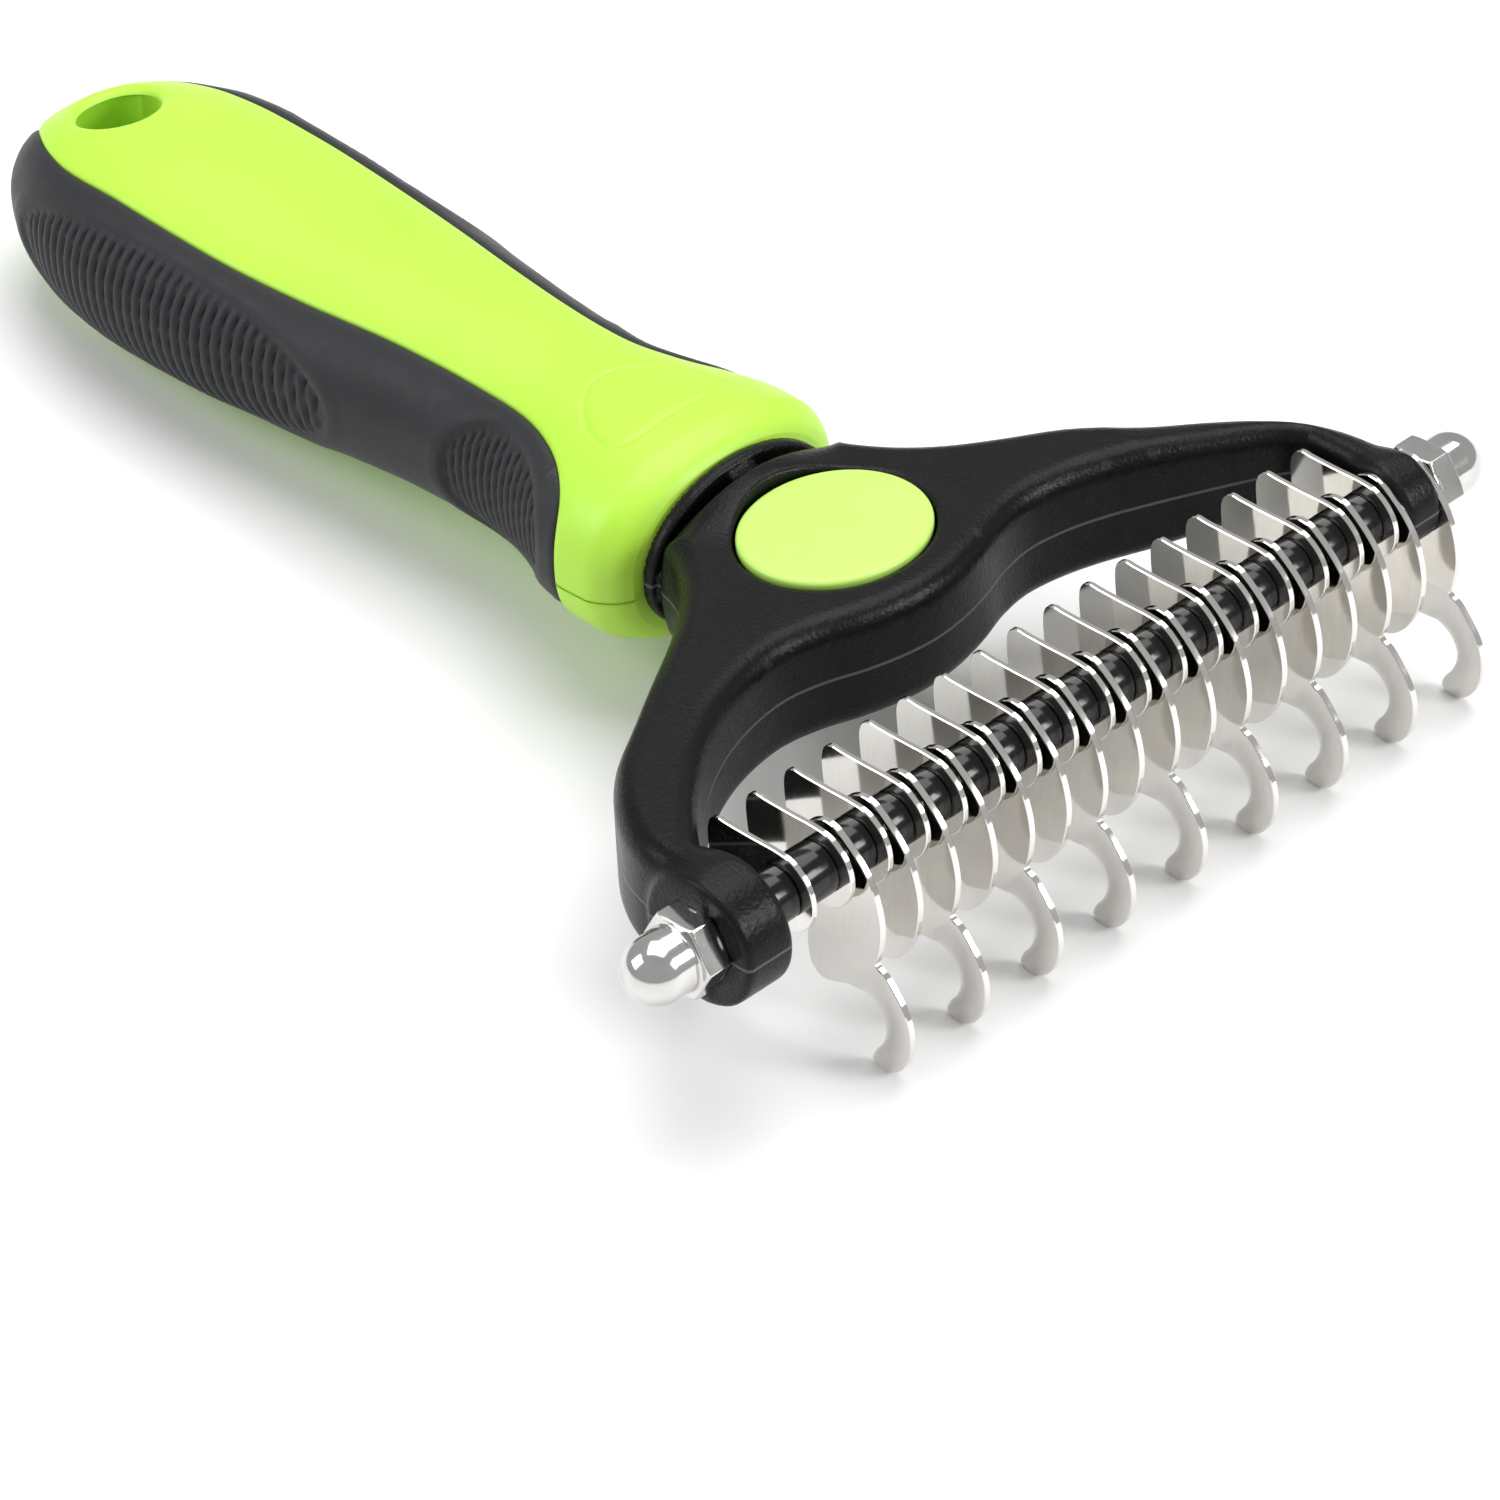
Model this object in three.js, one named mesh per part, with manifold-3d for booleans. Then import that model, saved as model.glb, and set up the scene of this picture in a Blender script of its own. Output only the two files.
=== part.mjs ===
import * as THREE from 'three';
import { mergeVertices } from 'three/addons/utils/BufferGeometryUtils.js';
import Module from 'manifold-3d';

// Two-sided dematting and undercoat rake.  Millimetres, +X handle to head, +Y along the axle, +Z up.
// The tool is drawn with the axle centre at the origin, then pitched and lifted to rest on a table.

// ---- driving dimensions ----
const PITCH_DEG = 5.35;         // nose-up rest angle of the whole tool
const LEVEL_DEG = 3.5;          // angle of the blade outlines to the handle axis
const PITCH = 4.8;              // blade spacing along the axle
const N = 17;                   // blades of each kind
const Y_R1 = -36.4;             // middle of the first comb plate
const R_TO_F = 6.2;             // comb plate k to rake plate k
const T_R = 0.6;                // comb plate thickness
const T_F = 0.7;                // rake plate thickness
const ROD_R = 1.95;             // M4 axle rod
const BORE_R = 2.1;             // clearance bore on the rod
const NOSE_R = 2.4;             // spacer nose that carries a comb plate
const HOLE_R = 2.5;             // hole in a comb plate
const SPACER_R = 2.75;
const NEAR_OUT = -46.9, NEAR_IN = -41.3;   // left boss faces
const FAR_IN = 42.15, FAR_OUT = 46.25;     // right boss faces
const YOKE_H = 6.3;             // half height of the yoke
const BOSS_R = 6.5;              // left boss
const FAR_R = 4.5;              // right boss
const BADGE_X = -29.3, BADGE_P = 8.6, BADGE_Q = 9.8;
const HANG_X = -129.3, HANG_R = 4.4;
const SPLIT_Z = -2.0;           // parting plane of the two handle shells
const GRIP_T = 2.0;             // rubber thickness
const GAP = 0.3;                // assembly clearance

const wasm = await Module();
wasm.setup();

function solid(geo) {
  let g = geo.index ? geo.toNonIndexed() : geo.clone();
  for (const k of Object.keys(g.attributes)) if (k !== 'position') g.deleteAttribute(k);
  g = mergeVertices(g, 1e-4);
  const pos = g.attributes.position.array, idx = Array.from(g.index.array), out = [];
  for (let i = 0; i < idx.length; i += 3) {
    const a = idx[i], b = idx[i + 1], c = idx[i + 2];
    if (a !== b && b !== c && a !== c) out.push(a, b, c);
  }
  let v = 0;
  for (let i = 0; i < out.length; i += 3) {
    const [a, b, c] = [out[i] * 3, out[i + 1] * 3, out[i + 2] * 3];
    v += pos[a] * (pos[b + 1] * pos[c + 2] - pos[b + 2] * pos[c + 1])
       - pos[a + 1] * (pos[b] * pos[c + 2] - pos[b + 2] * pos[c])
       + pos[a + 2] * (pos[b] * pos[c + 1] - pos[b + 1] * pos[c]);
  }
  if (v < 0) for (let i = 0; i < out.length; i += 3) { const t = out[i + 1]; out[i + 1] = out[i + 2]; out[i + 2] = t; }
  const mesh = new wasm.Mesh({ numProp: 3, vertProperties: new Float32Array(pos), triVerts: new Uint32Array(out) });
  mesh.merge();
  return new wasm.Manifold(mesh);
}
function geometry(m) {
  const mesh = m.simplify(0.02).getMesh();
  const g = new THREE.BufferGeometry();
  const n = mesh.numProp, vp = mesh.vertProperties, p = new Float32Array(vp.length / n * 3);
  for (let i = 0; i < vp.length / n; i++) { p[i * 3] = vp[i * n]; p[i * 3 + 1] = vp[i * n + 1]; p[i * 3 + 2] = vp[i * n + 2]; }
  g.setAttribute('position', new THREE.BufferAttribute(p, 3));
  g.setIndex(new THREE.BufferAttribute(new Uint32Array(mesh.triVerts), 1));
  g.computeVertexNormals();
  return g;
}
const mat = (name, color, roughness, metalness) => new THREE.MeshStandardMaterial({ name, color, roughness, metalness });
const GREEN = () => mat('handle_green', 0xb6ee3c, 0.42, 0);
const RUBBER = () => mat('grip_rubber', 0x303134, 0.8, 0);
const BLACK = () => mat('yoke_black', 0x1b1b1d, 0.6, 0);
const GLOSS = () => mat('spacer_black', 0x0c0c0e, 0.15, 0);
const STEEL = () => mat('blade_steel', 0xd9dadb, 0.12, 1);
const NICKEL = () => mat('nut_nickel', 0xc9c9c6, 0.2, 1);

const pitched = new THREE.Group();
pitched.name = 'tool';
pitched.rotation.y = -PITCH_DEG * Math.PI / 180;
function add(name, geo, material, x = 0, y = 0, z = 0, parent = pitched) {
  const m = new THREE.Mesh(geo, material);
  m.name = name; m.position.set(x, y, z);
  parent.add(m);
  return m;
}

// ---- piecewise profile helper ----
function interp(tab, x) {
  if (x <= tab[0][0]) return tab[0][1];
  for (let i = 1; i < tab.length; i++) if (x <= tab[i][0]) {
    const [x0, y0] = tab[i - 1], [x1, y1] = tab[i];
    return y0 + (y1 - y0) * (x - x0) / (x1 - x0);
  }
  return tab[tab.length - 1][1];
}

// ---- handle body: a tube of superellipse sections run along X ----
const HALF_W = [[-139.3, 1.2], [-138.7, 3.9], [-137.2, 7.0], [-135, 9.7], [-132, 11.8], [-128, 13.7], [-123, 15.3], [-117, 16.2], [-110, 16.4], [-103, 16.1],
  [-96, 15.3], [-89, 14.4], [-82, 13.4], [-75, 12.6], [-69, 12.3], [-64, 12.6], [-59, 13.6], [-54, 15.1], [-50, 15.9], [-47, 15.8], [-44.8, 14.7], [-43.4, 13.0]];
const TOP_H = [[-139.3, 0.9], [-138.7, 2.6], [-137.2, 4.6], [-135, 6.3], [-132, 7.7], [-128, 8.8], [-123, 9.5], [-117, 9.9], [-103, 10.1], [-89, 9.9],
  [-75, 9.5], [-66, 9.4], [-59, 9.8], [-50, 10.6], [-47, 10.6], [-44.8, 9.9], [-43.4, 8.9]];
const BOT_H = [[-139.3, 1.2], [-138.7, 3.0], [-137.2, 5.2], [-135, 7.2], [-132, 8.9], [-128, 10.2], [-123, 10.9], [-117, 11.1], [-108, 10.7], [-96, 9.7],
  [-82, 8.7], [-70, 8.4], [-59, 9.4], [-50, 10.6], [-47, 10.5], [-44.8, 9.8], [-43.4, 8.9]];
// rise of the section centre towards the butt
const RAISE = [[-139.6, 3.2], [-130, 3.0], [-120, 2.5], [-110, 1.9], [-100, 1.35], [-90, 1.2], [-80, 1.1], [-70, 0.75], [-60, 0.35], [-52, 0], [-43, 0]];
const MID_Z = -0.6;
const SUP = 2.25;
const STATIONS = [-139.3, -138.3, -135.8, -131.5, -125, -117, -107, -96, -85, -75, -66, -58, -51, -47, -44.8, -43.4];
function handleBody(inset, radial) {
  const xs = STATIONS;
  const g = new THREE.CylinderGeometry(1, 1, 1, radial, xs.length - 1, false);
  const p = g.attributes.position;
  for (let i = 0; i < p.count; i++) {
    const t = p.getY(i) + 0.5;                 // 0 at butt, 1 at mouth
    const k = Math.round(t * (xs.length - 1));
    let x = xs[k];
    const r = Math.hypot(p.getX(i), p.getZ(i));
    let yy = 0, zz = 0;
    if (r > 0.5) {
      const c = p.getX(i) / r, s = p.getZ(i) / r;
      const q = Math.pow(Math.pow(Math.abs(c), SUP) + Math.pow(Math.abs(s), SUP), -1 / SUP);
      const a = Math.max(interp(HALF_W, x) - inset, 0.25), b = Math.max(interp(s > 0 ? TOP_H : BOT_H, x) - inset, 0.25);
      yy = c * q * a; zz = s * q * b;
    }
    if (inset) { const d = inset * 0.9; x = Math.max(x, xs[0] + d); if (k === 0) x = xs[0] + d; if (k > 0 && x <= xs[0] + d) x = xs[0] + d + 0.02 * k; }
    p.setXYZ(i, x, yy, zz + MID_Z + interp(RAISE, xs[k]));
  }
  return solid(g);
}
const RAD = 28;
const body = handleBody(0, RAD);

// plan outline of one rubber grip (y >= 0 side); the rest of the surface stays green
const GRIP_EDGE = [[-142, 2.0], [-138, 3.4], [-135, 5.8], [-131, 8.2], [-126, 9.9], [-118, 10.5], [-104, 10.5], [-92, 9.6], [-80, 8.2], [-70, 7.6], [-63, 7.9], [-58.5, 9.2], [-55.2, 11.0], [-52.6, 13.4], [-51.1, 16.2]];
function gripPrism(shrink) {
  const s = new THREE.Shape();
  const e = GRIP_EDGE.map(([x, y]) => [x, y + shrink]);
  e[e.length - 1][0] -= shrink;
  s.moveTo(e[0][0], e[0][1]);
  for (const [x, y] of e.slice(1)) s.lineTo(x, y);
  s.lineTo(e[e.length - 1][0], 20); s.lineTo(-142, 20); s.closePath();
  const g = new THREE.ExtrudeGeometry(s, { depth: 40, bevelEnabled: false });
  g.translate(0, 0, -20);
  return solid(g);
}
const coreCut = handleBody(GRIP_T + 0.15, RAD);       // shells under the rubber
const gripIn = handleBody(GRIP_T - 0.15, RAD);
const prismOut = gripPrism(0), prismIn = gripPrism(GAP);
const mirrorY = m => m.mirror([0, 1, 0]);

let shells = body;
const bed = prismOut.subtract(coreCut);
shells = shells.subtract(bed).subtract(mirrorY(bed));
// hanging hole, straight through
const hole = solid(new THREE.CylinderGeometry(HANG_R, HANG_R, 60, 20).rotateX(Math.PI / 2).translate(HANG_X, 0, 0));
shells = shells.subtract(hole);
const LAND_Z = -8.5;
// small flat land on the underside just ahead of the hanging hole, and the socket for the yoke tang
const landBox = solid(new THREE.BoxGeometry(9, 9, 4).translate(-116.5, 0, LAND_Z - 2));
shells = shells.subtract(landBox);
const TANG_A = 8.6, TANG_B = 5.6;
function ellipseBar(a, b, x0, x1, seg = 28, z = MID_Z) {
  return solid(new THREE.CylinderGeometry(1, 1, x1 - x0, seg).rotateZ(Math.PI / 2).scale(1, a, b).rotateX(0).translate((x0 + x1) / 2, 0, z));
}
const NECK_Z = -0.3;
shells = shells.subtract(ellipseBar(TANG_A + GAP, TANG_B + GAP, -64, -40, 28, NECK_Z));
// teardrop thumb outline, a shallow groove on the top
function pick(off) {
  const s = new THREE.Shape();
  s.moveTo(-50.3 + off, -6.0 - off * 0.6);
  s.lineTo(-50.3 + off, 6.2 + off * 0.6);
  s.quadraticCurveTo(-50.4 + off, 8.0 + off, -53.2, 7.2 + off);
  s.quadraticCurveTo(-57.5, 5.4 + off, -59.4 - off * 0.5, 2.6 + off * 0.5);
  s.quadraticCurveTo(-60.8 - off, 0, -59.4 - off * 0.5, -2.6 - off * 0.5);
  s.quadraticCurveTo(-57.5, -5.4 - off, -53.2, -7.2 - off);
  s.quadraticCurveTo(-50.4 + off, -8.0 - off, -50.3 + off, -6.0 - off * 0.6);
  return solid(new THREE.ExtrudeGeometry(s, { depth: 20, bevelEnabled: false, curveSegments: 4 }));
}
const topSkin = handleBody(0.35, RAD);
shells = shells.subtract(pick(0.3).subtract(pick(-0.3)).subtract(topSkin));

const big = 400;
const above = solid(new THREE.BoxGeometry(big, big, big).translate(0, 0, SPLIT_Z + 0.05 + big / 2));
const below = solid(new THREE.BoxGeometry(big, big, big).translate(0, 0, SPLIT_Z - 0.05 - big / 2));
add('handle_upper_shell', geometry(shells.intersect(above)), GREEN());
add('handle_lower_shell', geometry(shells.intersect(below)), GREEN());

// rubber grips with two ribbed pads each
let grip = body.intersect(prismIn).subtract(gripIn);
const skin = handleBody(0.7, RAD);
function pad(cx, cz, px, pz, n, w) {
  const g = new THREE.CylinderGeometry(1, 1, 30, 14).scale(px, 1, pz).translate(cx, 15, cz);
  const lens = solid(g).subtract(skin);
  let cut = null;
  for (let i = 0; i < n; i++) {
    const x = cx - px + (i + 0.5) * 2 * px / n;
    const b = solid(new THREE.BoxGeometry(w, 60, 60).translate(x, 0, 0));
    cut = cut ? cut.add(b) : b;
  }
  return lens.intersect(cut);
}
grip = grip.subtract(pad(-107.5, MID_Z + 1.45, 23, 7.7, 9, 2.3)).subtract(pad(-62.4, MID_Z + 0.9, 8.2, 6.7, 4, 1.8));
add('grip_right', geometry(grip), RUBBER());
add('grip_left', geometry(mirrorY(grip)), RUBBER());

// ---- yoke: fork, neck collar, tang and the two bosses ----
const OUTER = [[-40.4, 11.3], [-38.6, 12.2], [-35.4, 14.4], [-32.2, 17.6], [-29.2, 21.8], [-25.8, 27.4], [-22.2, 33.2], [-18.9, 38.4], [-15.4, 42.0], [-11.6, 44.6], [-8.2, 45.9], [-4.8, 46.25]];
const OUTER_FAR = [[-40.4, 11.3], [-38.6, 12.2], [-35.4, 14.4], [-32.2, 17.6], [-29.2, 21.8], [-25.8, 27.0], [-20.8, 32.3], [-17.4, 37.2], [-14.4, 41.0], [-11.2, 43.9], [-8.0, 45.4], [-4.8, 46.1]];
const INNER_FAR = [[-16.4, 0], [-16.8, 4], [-17.8, 8], [-19.2, 12], [-19.9, 16], [-19.5, 20], [-18.4, 24], [-16.8, 28], [-14.9, 32.2], [-13.0, 36.2], [-11.2, 39.8], [-10.0, 41.5], [-9.0, 42.15]];
const INNER = [[-16.4, 0], [-16.8, 4], [-17.8, 8], [-19.2, 12], [-19.9, 16], [-19.5, 20], [-18.4, 24], [-16.6, 28], [-13.9, 32.2], [-10.6, 36.2], [-7.8, 39.0]];
const fork = new THREE.Shape();
fork.moveTo(-40.4, -11.3);
for (const [x, y] of OUTER.slice(1)) fork.lineTo(x, -y);
fork.lineTo(0, NEAR_OUT); fork.lineTo(BOSS_R + 1, NEAR_OUT); fork.lineTo(BOSS_R + 1, NEAR_IN); fork.lineTo(-5.2, NEAR_IN);
for (const [x, y] of INNER.slice().reverse()) fork.lineTo(x, -y);
for (const [x, y] of INNER_FAR.slice(1)) fork.lineTo(x, y);
fork.lineTo(BOSS_R + 1, FAR_IN); fork.lineTo(BOSS_R + 1, FAR_OUT); fork.lineTo(0, FAR_OUT);
for (const [x, y] of OUTER_FAR.slice().reverse()) fork.lineTo(x, y);
fork.closePath();
const plateGeo = new THREE.ExtrudeGeometry(fork, { depth: 2 * YOKE_H - 3, bevelEnabled: true, bevelThickness: 1.5, bevelSize: 0.9, bevelOffset: -0.9, bevelSegments: 2 });
plateGeo.translate(0, 0, -YOKE_H + 1.5);
// bosses keep full width: straight slab under the bevel
const armEnd = (r, y0, y1) => solid(new THREE.CylinderGeometry(r, r, y1 - y0, 32).translate(0, (y0 + y1) / 2, 0));
const limit = solid(new THREE.BoxGeometry(60, 120, 40).translate(-30, 0, 0)).add(armEnd(BOSS_R, -60, 0)).add(armEnd(FAR_R, 0, 60));
let yoke = solid(plateGeo).intersect(limit);
// the right arm thins towards its boss, top and bottom
const thin = new THREE.Shape([[29, YOKE_H + 0.02], [38, 5.5], [47, 4.5], [47, 12], [29, 12]].map(p => new THREE.Vector2(...p)));
const wedge = solid(new THREE.ExtrudeGeometry(thin, { depth: 60, bevelEnabled: false })
  .rotateX(Math.PI / 2).rotateZ(Math.PI / 2).translate(-45, 0, 0));
yoke = yoke.subtract(wedge).subtract(wedge.mirror([0, 0, 1]));
yoke = yoke.add(armEnd(BOSS_R, NEAR_OUT, NEAR_IN)).add(armEnd(FAR_R, FAR_IN, FAR_OUT));
// shoulder, collar ring, core and webs
yoke = yoke.add(ellipseBar(11.6, 8.3, -40.4, -37.2, 32, NECK_Z));
yoke = yoke.add(ellipseBar(TANG_A, TANG_B, -61, -40, 28, NECK_Z));
yoke = yoke.add(ellipseBar(12.4, 9.0, -46.0, -43.6 + 0.0, 32, NECK_Z).subtract(ellipseBar(20, 20, -60, -43.1, 12, NECK_Z)));
yoke = yoke.add(ellipseBar(12.0, 8.6, -43.1, -41.7, 32, NECK_Z));
yoke = yoke.add(solid(new THREE.BoxGeometry(3.4, 3.2, 15.6).translate(-41.6, 0, NECK_Z)));
yoke = yoke.add(solid(new THREE.BoxGeometry(3.4, 22.6, 3.0).translate(-41.6, 0, NECK_Z)));
// bores and the badge pocket
yoke = yoke.subtract(solid(new THREE.CylinderGeometry(BORE_R, BORE_R, 130, 24)));
const oval = (p, q, z0, z1) => solid(new THREE.CylinderGeometry(1, 1, z1 - z0, 32).rotateX(Math.PI / 2).scale(p, q, 1).translate(BADGE_X, 0, (z0 + z1) / 2));
yoke = yoke.subtract(oval(BADGE_P + GAP, BADGE_Q + GAP, YOKE_H - 1.3, YOKE_H + 5));
add('yoke', geometry(yoke), BLACK());
// oval badge with a bevelled rim, top face flat
const badge = oval(BADGE_P, BADGE_Q, YOKE_H - 1.0, YOKE_H + 0.15).add(oval(BADGE_P - 0.7, BADGE_Q - 0.7, YOKE_H - 0.5, YOKE_H + 0.5));
add('badge', geometry(badge), GREEN());

// ---- axle rod and the two dome nuts ----
const Y_NUT_L = NEAR_OUT, Y_F17 = Y_R1 + PITCH * (N - 1) + R_TO_F;
const Y_NUT_R = Y_F17 + T_F / 2;
const rodLen = Y_NUT_R - Y_NUT_L + 2 * 5.4;
add('axle_rod', new THREE.CylinderGeometry(ROD_R, ROD_R, rodLen, 24), NICKEL(), 0, (Y_NUT_R + Y_NUT_L) / 2, 0);
function domeNut() {                       // seat at y = 0, dome toward +y
  const hex = new THREE.CylinderGeometry(4.4, 4.4, 2.8, 6).translate(0, 1.4, 0);
  const chamfer = new THREE.LatheGeometry([[0, 0], [4.1, 0], [4.5, 0.35], [4.5, 2.3], [4.0, 2.8], [0, 2.8]].map(p => new THREE.Vector2(...p)), 18);
  const dome = new THREE.LatheGeometry([[0, 1], [3.3, 1], [3.3, 5.2], [3.05, 6.46], [2.33, 7.53], [1.26, 8.25], [0, 8.5]].map(p => new THREE.Vector2(...p)), 18);
  const bore = new THREE.CylinderGeometry(ROD_R + 0.1, ROD_R + 0.1, 8, 16).translate(0, 1.8, 0);
  return solid(hex).intersect(solid(chamfer)).add(solid(dome)).subtract(solid(bore));
}
const nut = domeNut();
add('cap_nut_right', geometry(nut), NICKEL(), 0, Y_NUT_R, 0);
add('cap_nut_left', geometry(mirrorY(nut)), NICKEL(), 0, Y_NUT_L, 0);

// ---- blades ----
// outlines in the (x, z) plane about the axle, drawn level; turned back by the pitch so they follow the tool
const th = LEVEL_DEG * Math.PI / 180;
const lvl = ([x, z]) => [x * Math.cos(th) + z * Math.sin(th), -x * Math.sin(th) + z * Math.cos(th)];
function plate(points, t, holeR, seg = 6) {
  const s = new THREE.Shape(points.map(p => new THREE.Vector2(...lvl(p))));
  const h = new THREE.Path(); h.absarc(0, 0, holeR, 0, Math.PI * 2, true);
  s.holes.push(h);
  const g = new THREE.ExtrudeGeometry(s, { depth: t, bevelEnabled: false, curveSegments: seg });
  g.rotateX(Math.PI / 2).translate(0, t / 2, 0);
  return g;
}
const COMB = [[-9.2, 1.2], [-9.15, 2.4], [-8.75, 3.3], [-7.9, 3.75], [-6.9, 3.75], [-4.0, 3.9], [-0.3, 4.15], [1.2, 3.98], [2.6, 3.2], [3.7, 1.9], [4.15, 0.2], [3.95, -1.3], [3.1, -2.8], [1.6, -3.85], [-0.4, -4.15],
  [-2.6, -4.6], [-4.6, -6.0], [-6.2, -8.2], [-7.2, -8.3], [-7.9, -6.6], [-8.5, -3.4]];
const ARM = [[5.9, -8.9], [7.1, -9.5], [8.4, -10.8], [9.6, -12.3], [10.3, -13.9], [10.5, -15.6], [10.3, -17.2], [9.5, -18.9], [8.3, -20.1], [7.1, -20.5], [6.2, -20.3], [5.7, -19.8], [5.9, -18.9],
  [6.7, -17.7], [7.15, -16.4], [7.1, -15.2], [6.6, -14.2], [5.7, -13.4], [4.4, -12.95], [2.8, -13.0], [1.0, -13.7], [-0.6, -14.2], [-2.0, -13.4], [-2.6, -11.2], [-2.6, -7.0], [-3.3, -3.0]];
const BELLY = [[-3.85, -0.6], [-3.75, 1.0], [-3.1, 2.4], [-2.0, 3.5], [-0.7, 4.1], [0.7, 3.95], [2.4, 2.9], [4.0, 1.5], [5.3, -0.2], [6.2, -2.4], [6.6, -4.6], [6.5, -6.6]];
const HOOKED = BELLY.concat([[6.2, -8.1]], ARM);
const PLAIN = BELLY.concat([[6.2, -8.2], [5.5, -9.9], [4.4, -11.5], [2.9, -12.7], [1.0, -13.2], [-0.8, -12.7], [-2.0, -11.2], [-2.6, -8.6], [-3.3, -3.0]]);
const ccw = pts => THREE.ShapeUtils.isClockWise(pts.map(p => new THREE.Vector2(...p))) ? pts.slice().reverse() : pts;
const combPts = ccw(COMB), hookPts = ccw(HOOKED), plainPts = ccw(PLAIN);
const two = n => String(n).padStart(2, '0');
for (let k = 1; k <= N; k++) {
  const yR = Y_R1 + PITCH * (k - 1), yF = yR + R_TO_F;
  add('comb_plate_' + two(k), plate(combPts, T_R, HOLE_R), STEEL(), 0, yR, 0);
  const hooked = k % 2 === 1;
  add('rake_' + (hooked ? 'hook_' : 'plate_') + two(k), plate(hooked ? hookPts : plainPts, T_F, BORE_R), STEEL(), 0, yF, 0);
}

// ---- spacers: body between plates, nose through the comb plate up to the next rake plate ----
function spacer(len, nose) {
  const P = [[BORE_R, 0], [SPACER_R, 0], [SPACER_R, len]];
  if (nose > 0) P.push([NOSE_R, len], [NOSE_R, len + nose]);
  P.push([BORE_R, len + nose], [BORE_R, 0]);
  return new THREE.LatheGeometry(P.map(p => new THREE.Vector2(...p)), 12);
}
const hR = T_R / 2, hF = T_F / 2;
const NOSE = (R_TO_F - PITCH) - hF + hR;
add('spacer_00', spacer(Y_R1 - hR - NEAR_IN, 0), GLOSS(), 0, NEAR_IN, 0);
add('spacer_01', spacer(PITCH - T_R, NOSE), GLOSS(), 0, Y_R1 + hR, 0);
for (let k = 2; k <= 16; k++) {
  const y0 = Y_R1 + PITCH * (k - 2) + R_TO_F + hF;     // back of rake plate k-1
  const y1 = Y_R1 + PITCH * k - hR;                    // face of comb plate k+1
  add('spacer_' + two(k), spacer(y1 - y0, NOSE), GLOSS(), 0, y0, 0);
}

// ---- rest on the table ----
const group = new THREE.Group();
group.name = 'deshedding_tool';
group.add(pitched);
group.updateMatrixWorld(true);
const bb = new THREE.Box3().setFromObject(group, true);
pitched.position.set(-(bb.min.x + bb.max.x) / 2, -(bb.min.y + bb.max.y) / 2, -bb.min.z);
group.updateMatrixWorld(true);

export default group;
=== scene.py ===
import bpy
import math
import numpy as np
from mathutils import Matrix, Vector
from mathutils.geometry import delaunay_2d_cdt

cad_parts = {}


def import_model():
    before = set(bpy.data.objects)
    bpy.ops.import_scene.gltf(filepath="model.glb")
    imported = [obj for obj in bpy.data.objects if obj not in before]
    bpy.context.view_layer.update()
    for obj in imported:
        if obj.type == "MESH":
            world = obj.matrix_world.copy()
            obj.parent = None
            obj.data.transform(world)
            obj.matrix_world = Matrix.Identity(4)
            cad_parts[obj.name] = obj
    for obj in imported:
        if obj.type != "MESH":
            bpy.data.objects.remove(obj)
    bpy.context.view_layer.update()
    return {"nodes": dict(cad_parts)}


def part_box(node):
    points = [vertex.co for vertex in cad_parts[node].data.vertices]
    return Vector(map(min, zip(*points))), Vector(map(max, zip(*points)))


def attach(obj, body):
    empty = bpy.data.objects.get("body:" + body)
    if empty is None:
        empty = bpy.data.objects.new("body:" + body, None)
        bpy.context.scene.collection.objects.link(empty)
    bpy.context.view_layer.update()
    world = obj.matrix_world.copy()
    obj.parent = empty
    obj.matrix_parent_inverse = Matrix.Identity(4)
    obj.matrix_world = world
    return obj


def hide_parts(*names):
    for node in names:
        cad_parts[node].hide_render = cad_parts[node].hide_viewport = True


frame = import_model()

# ---------------------------------------------------------------- tool frame
# All shapes are drawn in the tool's own frame in millimetres: axle centre at the origin,
# +X from handle to head, +Y along the axle, +Z up.  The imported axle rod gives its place.
TH = math.radians(-5.35)
rlo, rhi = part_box("axle_rod")
OX, OY, OZ = (rlo[0] + rhi[0]) / 2, (rlo[1] + rhi[1]) / 2 - 0.025e-3, (rlo[2] + rhi[2]) / 2
CT, ST = math.cos(TH), math.sin(TH)


def world(V):
    V = np.asarray(V, float)
    x, y, z = V[:, 0], V[:, 1], V[:, 2]
    return np.stack([(x * CT + z * ST) / 1000 + OX, y / 1000 + OY, (-x * ST + z * CT) / 1000 + OZ], 1)


PITCH, N = 4.8, 17
Y_R1, R_TO_F = -36.4, 6.2
T_R, T_F = 0.6, 0.7
BORE_R, NOSE_R, HOLE_R, SPACER_R = 2.1, 2.4, 2.5, 2.75
NEAR_OUT, NEAR_IN, FAR_IN, FAR_OUT = -46.9, -41.3, 42.15, 46.25
YOKE_H, BOSS_R, FAR_R = 6.3, 6.5, 4.5
BADGE_X, BADGE_P, BADGE_Q = -29.3, 8.6, 9.8
HANG_X, HANG_R = -129.3, 4.4
SPLIT_Z, MID_Z, SUP, NECK_Z = -2.0, -0.6, 2.25, -0.3


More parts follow.
